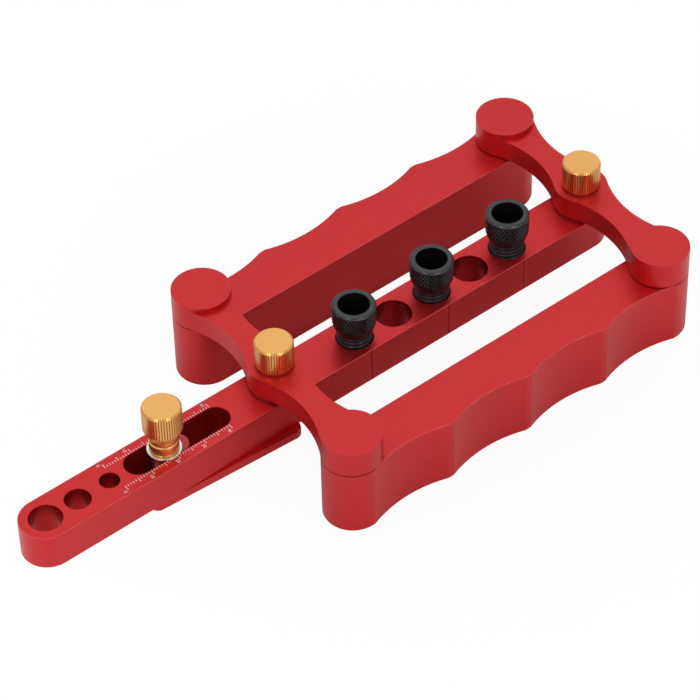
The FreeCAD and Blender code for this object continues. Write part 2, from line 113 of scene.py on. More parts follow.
def in_degrees(name, description, turn):
    """Angle property whose default is given in degrees."""
    return FloatProperty(name=name, description=description, default=math.radians(turn), subtype="ANGLE")


def in_hex(name, description, hex_colour):
    """Colour property whose default is given as sRGB hex."""
    return FloatVectorProperty(
        name=name, description=description, default=linear(hex_colour), size=4, subtype="COLOR",
        min=0, max=1)


# Sizes and colours that a user would change.


class JigBarSizes(bpy.types.PropertyGroup):
    """Bar with the bush holes and the arm."""

    edge_break: in_mm("Edge break", "Broken edges of bar, links and rails", 0.3)
    bush_hole: in_mm("Bush hole", "Diameter of a bush hole over its thread's crests", 11.9)
    guide_pitch: in_mm("Bush hole pitch", "Distance between bush holes", 16)
    stud_hole: in_mm("Stud hole", "Diameter of the holes under the links", 6.1)
    dowel_large: in_mm("Large dowel hole", "Diameter of the hole at the arm's tip", 10.4)
    dowel_medium: in_mm("Medium dowel hole", "Diameter of the middle hole of the arm", 8.2)
    dowel_small: in_mm("Small dowel hole", "Diameter of the hole next to the slot", 6.2)
    dowel_pitch: in_mm("Dowel hole pitch", "Distance between the arm's dowel holes", 12)
    index_width: in_mm("Index groove width", "Width of the index grooves level with the bushes", 0.35)
    index_depth: in_mm("Index groove depth", "Depth of the index grooves", 0.25)
    slot_width: in_mm("Slot width", "Width of the arm's slot", 9.3)
    slot_front: in_mm("Slot front", "Place of the slot's front end along the bar", -122.1)
    slot_rear: in_mm("Slot rear", "Place of the slot's rear end along the bar", -83.2)


class JigScaleSizes(bpy.types.PropertyGroup):
    """Millimetre scale beside the slot."""

    zero: in_mm("Zero mark", "Place of the zero mark along the bar", -126.4)
    marks: IntProperty(name="Marks", description="Millimetres that the scale counts", default=40, min=10)
    start: in_mm("Mark start", "Distance of the marks from the bar's middle line", 4.9)
    short_mark: in_mm("Short mark", "Length of a millimetre mark", 0.85)
    middle_mark: in_mm("Middle mark", "Length of a mark at each five millimetres", 1.6)
    long_mark: in_mm("Long mark", "Length of a mark at each ten millimetres", 1.9)
    line: in_mm("Line width", "Width of a laser line", 0.28)
    figure: in_mm("Figure height", "Height of the figures", 1.25)
    figure_lead: in_mm("Figure lead", "Figures stand this far ahead of their marks", 1.3)
    figure_place: in_mm("Figure place", "Distance of the figures from the bar's middle line", 7.1)


class JigLinkSizes(bpy.types.PropertyGroup):
    """Links that carry the rails."""

    span: in_mm("Span", "Distance between a link's outer pivots", 80)
    lean: in_degrees("Lean", "Turn of the links at rest", -2.8)
    lobe: in_mm("Lobe radius", "Radius of the outer lobes and of the rails' ends", 9.65)
    hub: in_mm("Hub radius", "Radius of the middle lobe", 8.8)
    hollow: in_mm("Hollow radius", "Radius of the hollow sides", 33)
    web: in_mm("Web thickness", "Thickness between the discs", 7.7)
    bore: in_mm("Bore", "Diameter of the middle bore", 9.6)
    thread: in_mm("Thread", "Diameter of the rail screws' threads", 5)
    thread_depth: in_mm("Thread depth", "Depth of the rail screws' threads", 6)


class JigRailSizes(bpy.types.PropertyGroup):
    """Rails that close on the workpiece."""

    scallops: IntProperty(name="Scallops", description="Finger scallops along a rail", default=4, min=1)
    scallop_radius: in_mm("Scallop radius", "Curve of a scallop", 44)
    scallop_depth: in_mm("Scallop depth", "Depth of a scallop", 2.6)
    ridge_round: in_mm("Ridge rounding", "Softening of the ridges between scallops", 0.5)
    pivot_hole: in_mm("Pivot hole", "Diameter of the pivot screw's hole", 6.1)
    recess: in_mm("Recess", "Diameter of the recess for the screw's head", 10.2)
    recess_depth: in_mm("Recess depth", "Depth of the recess for the screw's head", 6)


class JigKnobSizes(bpy.types.PropertyGroup):
    """Thumb knobs."""

    flutes: IntProperty(name="Flutes", description="Straight flutes round a head", default=48, min=12)
    flute_depth: in_mm("Flute depth", "Depth of a flute", 0.32)
    head: in_mm("Head height", "Fluted head, along", 9.2)
    bevel: in_mm("Rim bevel", "Bevel round the top", 0.6)
    shoulder: in_mm("Shoulder", "Diameter of the plain shoulder under a head", 9.5)
    waist: in_mm("Waist", "Depth of the waist above the arm knob's flange", 0.25)
    stud: in_mm("Stud", "Diameter of the studs", 6)


class JigBushSizes(bpy.types.PropertyGroup):
    """Drill guide bushes."""

    bore: in_mm("Bore", "Diameter of the drill guide bore", 10)
    crest: in_mm("Thread crest", "Radius of the thread's crests", 5.9)
    root: in_mm("Thread root", "Radius of the thread's roots", 5.4)
    pitch: in_mm("Thread pitch", "Pitch of the thread", 1.5)
    cone_start: in_mm("Cone start", "Height where the thread ends and the cone begins", 17.2)
    cone_end: in_mm("Cone end", "Height where the cone meets the full width of the head", 19.9)
    knurl_start: in_mm("Knurl start", "Height where the knurl runs out on the cone", 18.2)
    bevel: in_mm("Head bevel", "Rounding round the top of the head", 1.2)
    diamonds: IntProperty(name="Diamonds", description="Knurl diamonds round the head", default=36, min=12)
    diamond_rows: IntProperty(name="Diamond rows", description="Rows of knurl diamonds", default=4, min=1)
    knurl_depth: in_mm("Knurl depth", "Depth of the diamond knurl", 0.4)


class JigStopSizes(bpy.types.PropertyGroup):
    """Stop plate under the arm."""

    front: in_mm("Front", "Plate ahead of its stud", 10)
    rear: in_mm("Rear", "Plate behind its stud", 46.4)
    width: in_mm("Width", "Plate, across", 17)
    thickness: in_mm("Thickness", "Plate's thickness", 3)
    corner: in_mm("Corner", "Rounding of the plate's corners", 3)
    key_radius: in_mm("Key radius", "Half width of the key that runs in the slot", 4.36)
    key_offset: in_mm("Key offset", "Length of the key's straight sides", 4)
    key_top: in_mm("Key top", "Height of the key's top above the bar's underside", 12.6)
    skew: in_degrees("Skew", "Turn of the plate at rest", -3.44)


class JigFinishes(bpy.types.PropertyGroup):
    """Colours of the finishes."""

    red: in_hex("Red", "Dye of the anodised bar, links and rails", "#CB282B")
    gold: in_hex("Gold", "Dye of the anodised knobs", "#ECB068")
    black: in_hex("Black", "Black oxide of the bushes", "#2F3032")
    steel: in_hex("Steel", "Bright zinc plated steel", "#D9D9D6")
    marking: in_hex("Marking", "Laser marking", "#F2C9C9")


class JigStageSizes(bpy.types.PropertyGroup):
    """Camera, lamps and floor."""

    azimuth: in_degrees("Azimuth", "Direction of the camera's look, from +Y towards +X", 38.434)
    elevation: in_degrees("Elevation", "Camera's height above the horizon", 44.641)
    roll: in_degrees("Roll", "Turn of the camera about its look", -1.434)
    distance: in_mm("Distance", "Camera to the point it looks at", 1120.4)
    aim: FloatVectorProperty(
        name="Aim", description="Point that the camera looks at",
        default=(-21.18 * MM, 14.36 * MM, -11.67 * MM), size=3, subtype="TRANSLATION")
    lens: FloatProperty(name="Lens", description="Focal length in millimetres", default=177.12)
    key_power: FloatProperty(
        name="Key light", description="Power of the large soft light above", default=4.0, unit="POWER")
    fill_power: FloatProperty(
        name="Strip lights", description="Power of each strip light beside the camera",
        default=1.2, unit="POWER")
    low_power: FloatProperty(
        name="Low panels", description="Power of each low panel in front of the jig",
        default=2.2, unit="POWER")
    sky: FloatProperty(name="Sky", description="Strength of the even light all round", default=0.55)


# Modelling by hand: edit mode, selection by place, drawing, turning and drilling.


def deselect_all():
    """Leaves edit mode with nothing selected."""
    if bpy.context.mode != "OBJECT":
        bpy.ops.object.mode_set(mode="OBJECT")
    bpy.ops.object.select_all(action="DESELECT")


def hold(piece):
    """Selects one piece alone, in object mode."""
    deselect_all()
    piece.select_set(True)
    bpy.context.view_layer.objects.active = piece


def edit(piece, mode="VERT"):
    """Opens a piece in edit mode with nothing selected."""
    hold(piece)
    bpy.ops.object.mode_set(mode="EDIT")
    bpy.ops.mesh.select_mode(type=mode)
    bpy.ops.mesh.select_all(action="DESELECT")


def select_points(piece, wanted):
    """Selects the points of the open piece whose place is wanted."""
    mesh = bmesh.from_edit_mesh(piece.data)
    for point in mesh.verts:
        point.select_set(bool(wanted(point.co)))
    mesh.select_flush_mode()
    bmesh.update_edit_mesh(piece.data)


def select_edges(piece, wanted):
    """Selects the edges of the open piece that are wanted."""
    mesh = bmesh.from_edit_mesh(piece.data)
    for edge in mesh.edges:
        edge.select_set(bool(wanted(edge)))
    bmesh.update_edit_mesh(piece.data)


def select_faces(piece, wanted):
    """Selects the faces of the open piece that are wanted."""
    mesh = bmesh.from_edit_mesh(piece.data)
    for face in mesh.faces:
        face.select_set(False)
    for face in mesh.faces:
        if wanted(face):
            face.select_set(True)
    bmesh.update_edit_mesh(piece.data)


def select_all():
    """Selects all of the open piece."""
    bpy.ops.mesh.select_all(action="SELECT")


def widen(scale):
    """Scales what is selected away from the upright axis."""
    bpy.ops.transform.resize(value=(scale, scale, 1), center_override=(0, 0, 0))


class Pencil:
    """Draws an outline edge by edge, starting from one loose point."""

    def __init__(self, name, x, y, z=0.0):
        deselect_all()
        bpy.ops.mesh.primitive_plane_add(size=MM)
        self.piece = bpy.context.active_object
        self.piece.name = self.piece.data.name = name
        bpy.ops.object.mode_set(mode="EDIT")
        bpy.ops.mesh.select_mode(type="VERT")
        select_all()
        bpy.ops.mesh.merge(type="CENTER")
        self.at = Vector((x, y, z))
        bpy.ops.transform.translate(value=self.at)

    def line(self, x, y, z=None):
        """Straight edge to a point."""
        to = Vector((x, y, self.at.z if z is None else z))
        bpy.ops.mesh.extrude_region_move(TRANSFORM_OT_translate={"value": to - self.at})
        self.at = to

    def arc(self, x, y, degrees, steps):
        """Arc about an upright axis at x, y. Positive degrees run anticlockwise, seen from above."""
        centre = Vector((x, y, self.at.z))
        bpy.ops.mesh.spin(steps=steps, angle=-math.radians(degrees), center=centre, axis=(0, 0, 1))
        turn = Matrix.Rotation(math.radians(degrees), 4, "Z")
        self.at = centre + turn @ (self.at - centre)

    def close(self):
        """Joins the end to the start and returns the piece."""
        select_all()
        bpy.ops.mesh.remove_doubles(threshold=MERGE)
        bpy.ops.object.mode_set(mode="OBJECT")
        return self.piece


def face_out():
    """Turns all faces of the open piece outwards."""
    select_all()
    bpy.ops.mesh.normals_make_consistent(inside=False)


def fill(piece):
    """Fills a closed outline with one face that looks up."""
    edit(piece)
    select_all()
    bpy.ops.mesh.edge_face_add()
    deselect_all()


def raise_up(piece, height):
    """Extrudes a flat outline upwards into a closed block."""
    edit(piece, "FACE")
    select_all()
    bpy.ops.mesh.extrude_region_move(TRANSFORM_OT_translate={"value": (0, 0, height)})
    face_out()
    deselect_all()


def block(pencil, height):
    """Closes an outline and raises it into a block."""
    piece = pencil.close()
    fill(piece)
    raise_up(piece, height)
    return piece


def round_ended(name, front, rear, radius, low, height, steps):
    """Block along the bar, from level low, with a round end about each of two places."""
    pencil = Pencil(name, front, -radius, low)
    pencil.line(rear, -radius)
    pencil.arc(rear, 0, 180, steps)
    pencil.line(front, radius)
    pencil.arc(front, 0, 180, steps)
    return block(pencil, height)


def join(piece, *others):
    """Joins other pieces into the first."""
    hold(piece)
    for other in others:
        other.select_set(True)
    bpy.ops.object.join()
    return piece


def place(piece, x=0.0, y=0.0, z=0.0, turn=0.0):
    """Turns a piece about the origin, moves it, and keeps the place in its mesh."""
    hold(piece)
    piece.location = (x, y, z)
    piece.rotation_euler = (0, 0, turn)
    bpy.ops.object.transform_apply(location=True, rotation=True, scale=True)
    return piece


def copy_of(piece, name):
    """Copy of a piece with its own mesh."""
    hold(piece)
    bpy.ops.object.duplicate(linked=False)
    copied = bpy.context.active_object
    copied.name = copied.data.name = name
    return copied


def turned(name, section, steps=96):
    """Turns a section of (radius, height) corners round the upright axis at the origin."""
    (radius, height), *rest = section
    pencil = Pencil(name, radius, 0, height)
    for radius, height in rest:
        pencil.line(radius, 0, height)
    select_all()
    bpy.ops.mesh.spin(steps=steps, angle=math.tau, center=(0, 0, 0), axis=(0, 0, 1))
    select_all()
    bpy.ops.mesh.remove_doubles(threshold=MERGE)
    face_out()
    deselect_all()
    return pencil.piece


def dress(piece, *finishes):
    """Gives a piece its finishes; the first covers it."""
    for finish in finishes:
        piece.data.materials.append(finish)


def paint(piece, finish, wanted):
    """Gives the faces that are wanted one of the piece's other finishes."""
    edit(piece, "FACE")
    select_faces(piece, wanted)
    piece.active_material_index = finish
    bpy.ops.object.material_slot_assign()
    deselect_all()


def drill(piece, *cutters):
    """Cuts the cutters' shapes out of a piece and clears them away."""
    cutter = join(*cutters) if len(cutters) > 1 else cutters[0]
    dress(cutter, *piece.data.materials)
    # Cut walls take the darkened bore finish: painted shade in holes and grooves.
    if len(cutter.data.materials) > BORE:
        paint(cutter, BORE, lambda face: True)
    hold(piece)
    bpy.ops.object.modifier_add(type="BOOLEAN")
    cut = piece.modifiers[-1]
    cut.operation = "DIFFERENCE"
    cut.solver = "EXACT"
    cut.object = cutter
    bpy.ops.object.modifier_apply(modifier=cut.name)
    bpy.data.objects.remove(cutter)


def drill_bit(radius, low, high, x=0.0, y=0.0, steps=64):
    """Round cutter from low to high."""
    return place(turned("drill_bit", [(0, low), (radius, low), (radius, high), (0, high)], steps), x, y)


def break_edges(piece, width, wanted, finish=EDGE):
    """Bevels the sharp edges that are wanted, by width or by as much as fits beside them."""
    edit(piece, "EDGE")
    select_edges(piece, lambda edge: edge.is_manifold and edge.calc_face_angle() > SHARP and wanted(edge))
    # New bevel faces take the finish given; by default that is the paler edge finish with its painted
    # highlight.
    bpy.ops.mesh.bevel(offset=width, segments=2, affect="EDGES", clamp_overlap=True, material=finish)
    deselect_all()


def smooth(piece, degrees=35, weighted=True):
    """Smooth shading between faces that meet at less than the angle; flat faces stay flat."""
    hold(piece)
    bpy.ops.object.shade_smooth_by_angle(angle=math.radians(degrees))
    if weighted:
        bpy.ops.object.modifier_add(type="WEIGHTED_NORMAL")
        piece.modifiers[-1].keep_sharp = True
        bpy.ops.object.modifier_apply(modifier=piece.modifiers[-1].name)


def is_level(edge, *heights):
    """True where both ends of an edge lie at one of the heights."""
    return any(all(abs(point.co.z - height) < MERGE for point in edge.verts) for height in heights)


def fit(piece, body, slot, *nodes):
    """Parents a piece to the body it rides and hides the CAD nodes it stands for."""
    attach(piece, body)
    if nodes:
        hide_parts(*nodes)


def seat(piece, body, slot, finish, node):
    """Stands a turned piece on its node's axis, dressed and fitted."""
    place(piece, *axis_of(node)[0])
    dress(piece, finish)
    fit(piece, body, slot, node)


# Finishes.


def add_node(tree, kind, inputs=None, **settings):
    """Adds a node with its settings, and fills or links its inputs."""
    node = tree.nodes.new(kind)
    for name, value in settings.items():
        setattr(node, name, value)
    for name, value in (inputs or {}).items():
        if isinstance(value, bpy.types.NodeSocket):
            tree.links.new(value, node.inputs[name])
        else:
            node.inputs[name].default_value = value
    return node


def new_finish(name, metallic, **own):
    """Finds or starts a material; returns it with its tree, its shader and object coordinates."""
    finish = bpy.data.materials.get(name) or bpy.data.materials.new(name)
    finish.use_nodes = True
    tree = finish.node_tree
    tree.nodes.clear()
    shader = add_node(tree, "ShaderNodeBsdfPrincipled", {"Metallic": metallic, **own})
    add_node(tree, "ShaderNodeOutputMaterial", {"Surface": shader.outputs["BSDF"]})
    where = add_node(tree, "ShaderNodeTexCoord").outputs["Object"]
    return finish, tree, shader, where


def per_mm(size):
    """Texture scale for a feature of the given size in millimetres."""
    return 1 / (size * MM)


def shade_of(colour, factor):
    """Lighter or darker shade of a linear colour."""
    return (*[min(1.0, channel * factor) for channel in colour[:3]], 1.0)


def shades_of(colour, low, high):
    """Two shades of a linear colour, for a pattern to run between."""
    return shade_of(colour, low), shade_of(colour, high)


def paler(colour, share):
    """Linear colour leaned towards a pale grey, for a painted highlight."""
    return (*[channel * (1 - share) + HIGHLIGHT_GREY * share for channel in colour[:3]], 1.0)


def tinted(tree, shader, pattern, shades, gloss):
    """Runs a shader's colour between two shades by a pattern, and its roughness if gloss is a range."""
    tone = add_node(tree, "ShaderNodeMix", {
        "Factor": pattern, 6: shades[0], 7: shades[1]}, data_type="RGBA")
    tree.links.new(tone.outputs[2], shader.inputs["Base Color"])
    if isinstance(gloss, tuple):
        polish = add_node(tree, "ShaderNodeMapRange", {
            "Value": pattern, "To Min": gloss[0], "To Max": gloss[1]})
        tree.links.new(polish.outputs["Result"], shader.inputs["Roughness"])
    else:
        shader.inputs["Roughness"].default_value = gloss


def mottled(name, shades, metallic, gloss, grain, detail, raggedness=0.5):
    """Finish that drifts between two shades over a grain in millimetres."""
    finish, tree, shader, where = new_finish(name, metallic)
    drift = add_node(tree, "ShaderNodeTexNoise", {
        "Vector": where, "Scale": per_mm(grain), "Detail": detail, "Roughness": raggedness})
    tinted(tree, shader, drift.outputs["Fac"], shades, gloss)
    return finish


def red_finishes():
    """Finishes of a red piece: its faces, its broken edges with a painted highlight, and what is cut into
    it, darkened as painted shade.
    """
    return red_anodised(), red_edges(), red_bores()


def red_edges():
    """Broken edges of the red pieces: handling burnishes the metal there, and their paler tint is a painted
    highlight.
    """
    colour = bpy.context.scene.jig_finishes.red
    shades = shade_of(colour, 1.0), paler(colour, 0.1)
    # The painted highlight comes and goes over about 4 mm.
    return mottled("red_anodised_edges_painted_highlight", shades, metallic=0.9, gloss=0.3, grain=4, detail=2.0)


def red_bores():
    """Drilled and tapped walls: bright cut metal under the red dye, darkened as painted shade in holes and
    grooves.
    """
    finish, tree, shader, where = new_finish("red_anodised_bores_painted_shade", 1.0)
    # The cutter leaves level rings about 0.5 mm apart on a wall.
    level = add_node(tree, "ShaderNodeMapping", {
        "Vector": where, "Scale": (per_mm(20), per_mm(20), per_mm(0.5))})
    rings = add_node(tree, "ShaderNodeTexNoise", {
        "Vector": level.outputs["Vector"], "Scale": 1.0, "Detail": 1.0, "Roughness": 0.5})
    shades = shades_of(bpy.context.scene.jig_finishes.red, 0.55, 0.72)
    tinted(tree, shader, rings.outputs["Fac"], shades, 0.28)
    return finish


def red_slot():
    """Slot of the arm and the key in it: the same dye darkened, as painted shade down in the slot, under a
    thicker seal.
    """
    return red_anodised("red_anodised_slot_painted_shade", 0.7, 0.5)


def red_anodised(name="red_anodised_aluminium", shade=1.0, seal=0.2):
    """Milled aluminium, bead blasted, dyed red and sealed: even satin colour, faint lengthwise milling."""
    colour = shade_of(bpy.context.scene.jig_finishes.red, shade)
    finish, tree, shader, where = new_finish(name, 0.8, **{
        "Coat Weight": seal, "Coat Roughness": 0.3})
    # Cutter lines run along the stock, about 0.8 mm apart and 60 mm long.
    along = add_node(tree, "ShaderNodeMapping", {
        "Vector": where, "Scale": (per_mm(60), per_mm(0.8), per_mm(4))})
    lines = add_node(tree, "ShaderNodeTexNoise", {
        "Vector": along.outputs["Vector"], "Scale": 1.0, "Detail": 3.0, "Roughness": 0.55})
    # Dye takes a little unevenly over patches of about 25 mm.
    patches = add_node(tree, "ShaderNodeTexNoise", {
        "Vector": where, "Scale": per_mm(25), "Detail": 2.0, "Roughness": 0.5})
    tone = add_node(tree, "ShaderNodeMix", {
        "Factor": patches.outputs["Fac"], 6: shade_of(colour, 0.92), 7: shade_of(colour, 1.06)},
        data_type="RGBA")
    streak = add_node(tree, "ShaderNodeMapRange", {
        "Value": lines.outputs["Fac"], "From Min": 0.35, "From Max": 0.7, "To Min": 0.0, "To Max": 0.1})
    lined = add_node(tree, "ShaderNodeMix", {
        "Factor": streak.outputs["Result"], 6: tone.outputs[2], 7: shade_of(colour, 1.35)},
        data_type="RGBA")
    tree.links.new(lined.outputs[2], shader.inputs["Base Color"])
    satin = add_node(tree, "ShaderNodeMapRange", {
        "Value": patches.outputs["Fac"], "To Min": 0.36, "To Max": 0.46})
    tree.links.new(satin.outputs["Result"], shader.inputs["Roughness"])
    # Blasting leaves dimples of about 0.1 mm; drawn at 0.35 mm so that they show.
    dimples = add_node(tree, "ShaderNodeTexNoise", {
        "Vector": where, "Scale": per_mm(0.35), "Detail": 2.0, "Roughness": 0.6})
    relief = add_node(tree, "ShaderNodeBump", {
        "Height": dimples.outputs["Fac"], "Strength": 0.12, "Distance": 0.03 * MM})
    tree.links.new(relief.outputs["Normal"], shader.inputs["Normal"])
    return finish


def gold_polished():
    """Lands, bevel and neck of a knob: cut with a keen tool, so that the gold dye lies over bright metal."""
    shades = shades_of(bpy.context.scene.jig_finishes.gold, 1.0, 1.12)
    # The dye's depth drifts over about 3 mm.
    return mottled("gold_anodised_polished", shades, metallic=1.0, gloss=0.3, grain=3, detail=1.0)


def gold_flutes():
    """Valleys of the flutes: darker gold, painted shade where light hardly gets in."""
    shades = shades_of(bpy.context.scene.jig_finishes.gold, 0.55, 0.7)
    # The cutter's chatter shades a valley every 0.6 mm.
    return mottled("gold_anodised_flutes_painted_shade", shades, metallic=0.9, gloss=0.34, grain=0.6, detail=1.0)


def gold_anodised(name, axis):
    """Turned aluminium, dyed gold and brightened: warm metal with fine rings round the knob's axis."""
    finish, tree, shader, where = new_finish(name, 0.85)
    centred = add_node(tree, "ShaderNodeMapping", {"Vector": where, "Location": (-axis.x, -axis.y, 0)})
    # The turning tool leaves rings about 0.1 mm apart, drawn at 0.4 mm so that they show.
    rings = add_node(tree, "ShaderNodeTexWave", {
        "Vector": centred.outputs["Vector"], "Scale": WAVE_PERIOD * per_mm(0.4),
        "Distortion": 0.4, "Detail": 1.0},
        wave_type="RINGS", rings_direction="Z")
    shades = shades_of(bpy.context.scene.jig_finishes.gold, 0.985, 1.01)
    tinted(tree, shader, rings.outputs["Fac"], shades, (0.36, 0.38))
    return finish


def black_oxide(name="black_oxide_steel", shade=1.0):
    """Hardened steel blackened in hot oxide and oiled: charcoal satin, a little mottled."""
    shades = shades_of(shade_of(bpy.context.scene.jig_finishes.black, shade), 0.8, 1.2)
    return mottled(name, shades, metallic=0.85, gloss=(0.25, 0.31), grain=2.5, detail=3.0, raggedness=0.6)


def bright_zinc():
    """Zinc plated steel: bright, nearly white metal with slight clouding."""
    shades = shades_of(bpy.context.scene.jig_finishes.steel, 0.9, 1.08)
    return mottled(
        "bright_zinc_steel", shades, metallic=1.0, gloss=(0.22, 0.36), grain=3, detail=3.0, raggedness=0.6)


def laser_marking():
    """Dye burnt out by a laser: bare pale aluminium, dull, with a slightly ragged tone."""
    shades = shades_of(bpy.context.scene.jig_finishes.marking, 0.75, 1.1)
    # The beam's spots are about 0.1 mm; drawn at 0.3 mm so that they show.
    return mottled("laser_marking", shades, metallic=0.1, gloss=0.6, grain=0.3, detail=1.0)


def floor_paper():
    """Seamless pale grey paper: keeps the soft shadow near the jig and fades into the white backdrop."""
    finish, tree, shader, where = new_finish("pale_paper", 0.0, **{
        "Specular IOR Level": 0.1, "Roughness": 0.9, "Base Color": linear("#EBEBEB")})
    glow = add_node(tree, "ShaderNodeEmission", {"Color": linear("#FFFFFF"), "Strength": 1.0})
    ray = add_node(tree, "ShaderNodeLightPath")
    away = add_node(tree, "ShaderNodeVectorMath", {0: where}, operation="LENGTH")
    # The camera sees a faint shadow near the jig; metal sees the real paper there, and white beyond.
    fade = add_node(tree, "ShaderNodeMapRange", {
        "Value": away.outputs["Value"], "From Min": 0.05, "From Max": 0.16, "To Min": 0.94})
    far = add_node(tree, "ShaderNodeMapRange", {
        "Value": away.outputs["Value"], "From Min": 0.08, "From Max": 0.20})
    to_camera = add_node(tree, "ShaderNodeMath", {
        0: ray.outputs["Is Camera Ray"], 1: fade.outputs["Result"]}, operation="MULTIPLY")
    to_metal = add_node(tree, "ShaderNodeMath", {
        0: ray.outputs["Is Glossy Ray"], 1: far.outputs["Result"]}, operation="MULTIPLY")
    share = add_node(tree, "ShaderNodeMath", {
        0: to_camera.outputs["Value"], 1: to_metal.outputs["Value"]}, operation="MAXIMUM")
    both = add_node(tree, "ShaderNodeMixShader", {
        0: share.outputs["Value"], 1: shader.outputs["BSDF"], 2: glow.outputs["Emission"]})
    output = next(node for node in tree.nodes if node.type == "OUTPUT_MATERIAL")
    tree.links.new(both.outputs["Shader"], output.inputs["Surface"])
    return finish


# Pieces.


class JIG_OT_bar(bpy.types.Operator):
    """Mill the bar: round ends, threaded bush holes, dowel holes, stud holes and the arm's slot"""

    bl_idname = "jig.bar"
    bl_label = "Bar"

    def execute(self, context):
        sizes = context.scene.jig_bar
        tip_x, rear_x = BAR_LOW.x + BAR_RADIUS, BAR_HIGH.x - BAR_RADIUS
        bar = round_ended("milled_bar", tip_x, rear_x, BAR_RADIUS, 0.0, BAR_TOP, 40)
        dress(bar, *red_finishes(), red_slot())

        holes = [
            (tip_x, sizes.dowel_large),
            (tip_x + sizes.dowel_pitch, sizes.dowel_medium),
            (tip_x + 2 * sizes.dowel_pitch, sizes.dowel_small),
            (HINGES["front_link_turn"].x, sizes.stud_hole),
            (HINGES["rear_link_turn"].x, sizes.stud_hole),
        ]
        cutters = [drill_bit(width / 2, -OVER, BAR_TOP + OVER, x) for x, width in holes]
        cutters += [self.thread_tap(sizes, guide * sizes.guide_pitch) for guide in range(-2, 3)]
        radius = sizes.slot_width / 2
        cutters.append(round_ended(
            "slot_mill", sizes.slot_front + radius, sizes.slot_rear - radius, radius,
            -OVER, BAR_TOP + 2 * OVER, 32))
        drill(bar, *cutters)

        def on_outline(edge):
            """True on the bar's outer rim, and not at a hole."""
            middle = (edge.verts[0].co + edge.verts[1].co) / 2
            spine = Vector((min(max(middle.x, tip_x), rear_x), 0))
            slack = 0.1 * MM
            return (middle.xy - spine).length > BAR_RADIUS - slack

        break_edges(bar, sizes.edge_break, lambda edge: is_level(edge, 0, BAR_TOP) and on_outline(edge))
        # Rims of the holes take the darkened bore finish: painted shade.
        break_edges(
            bar, sizes.edge_break, lambda edge: is_level(edge, 0, BAR_TOP) and not on_outline(edge), BORE)
        # The index grooves' walls take the darkened bore finish: painted shade in the grooves.
        drill(bar, *[self.index_cutter(sizes, side * 2 * sizes.guide_pitch) for side in (-1, 0, 1)])

        def in_slot(face):
            middle = face.calc_center_median()
            return (sizes.slot_front < middle.x < sizes.slot_rear
                    and abs(middle.y) < sizes.slot_width / 2 + MERGE
                    and sizes.edge_break < middle.z < BAR_TOP - sizes.edge_break)

        # The slot's walls take the darker slot finish: painted shade down in the slot.
        paint(bar, SLOT, in_slot)
        smooth(bar)
        fit(bar, "bar", "red_anodised", "centre_bar")
        return {"FINISHED"}

    def thread_tap(self, sizes, x):
        """Cutter of a bush hole: crests at the hole's size, shallow roots at the bushes' pitch."""
        crest, pitch = sizes.bush_hole / 2, bpy.context.scene.jig_bush.pitch
        root, height, last = crest + 0.22 * MM, 0.8 * MM, BAR_TOP - 0.5 * MM
        section = [(0, -OVER), (crest, -OVER), (crest, height)]
        while height + pitch < last:
            section += [(root, height + pitch / 2), (crest, height + pitch)]
            height += pitch
        section += [(crest, BAR_TOP + OVER), (0, BAR_TOP + OVER)]
        return place(turned("thread_tap", section, 72), x)

    def index_cutter(self, sizes, x):
        """Cutter of an upright index groove on the bar's right side."""
        depth = sizes.index_depth
        pencil = Pencil("index_cutter", x - sizes.index_width, -BAR_RADIUS - depth, -OVER)
        pencil.line(x + sizes.index_width, -BAR_RADIUS - depth)
        pencil.line(x, -BAR_RADIUS + depth)
        return block(pencil, BAR_TOP + 2 * OVER)


class JIG_OT_scale(bpy.types.Operator):
    """Mark the millimetre scale beside the slot"""

    bl_idname = "jig.scale"
    bl_label = "Scale"

    def execute(self, context):
        sizes = context.scene.jig_scale
        thickness = 0.02 * MM
        strokes = []
        for side in (-1, 1):
            for mark in range(sizes.marks + 1):
                reach = (sizes.long_mark if mark % 10 == 0
                         else sizes.middle_mark if mark % 5 == 0 else sizes.short_mark)
                x = sizes.zero + mark * MM
                strokes.append(self.stroke(x, side * sizes.start, side * (sizes.start + reach), sizes.line))
            for mark in range(0, sizes.marks + 1, 10):
                strokes.append(self.figure(str(mark), sizes, side))
        marks = join(*strokes)
        marks.name = marks.data.name = "scale_marks"
        raise_up(marks, thickness)
        place(marks, z=BAR_TOP)
        dress(marks, laser_marking())
        fit(marks, "bar", "red_anodised")
        return {"FINISHED"}

    def stroke(self, x, y_start, y_end, width):
        """Flat line across the bar."""
        pencil = Pencil("stroke", x - width / 2, y_start)
        pencil.line(x + width / 2, y_start)
        pencil.line(x + width / 2, y_end)
        pencil.line(x - width / 2, y_end)
        line = pencil.close()
        fill(line)
        return line

    def figure(self, text, sizes, side):
        """Flat figure beside a long mark."""
        deselect_all()
        bpy.ops.object.text_add()
        figure = bpy.context.active_object
        figure.data.body = text
        # The text's size is this much over its figures' height, and its strokes are a little bolder.
        size_per_height, boldness = 1.35, 0.02 * MM
        figure.data.size = sizes.figure * size_per_height
        figure.data.align_x = figure.data.align_y = "CENTER"
        figure.data.offset = boldness
        bpy.ops.object.convert(target="MESH")
        figure = bpy.context.active_object
        x = sizes.zero + int(text) * MM - sizes.figure_lead
        return place(figure, x, side * sizes.figure_place, 0, math.radians(-90))


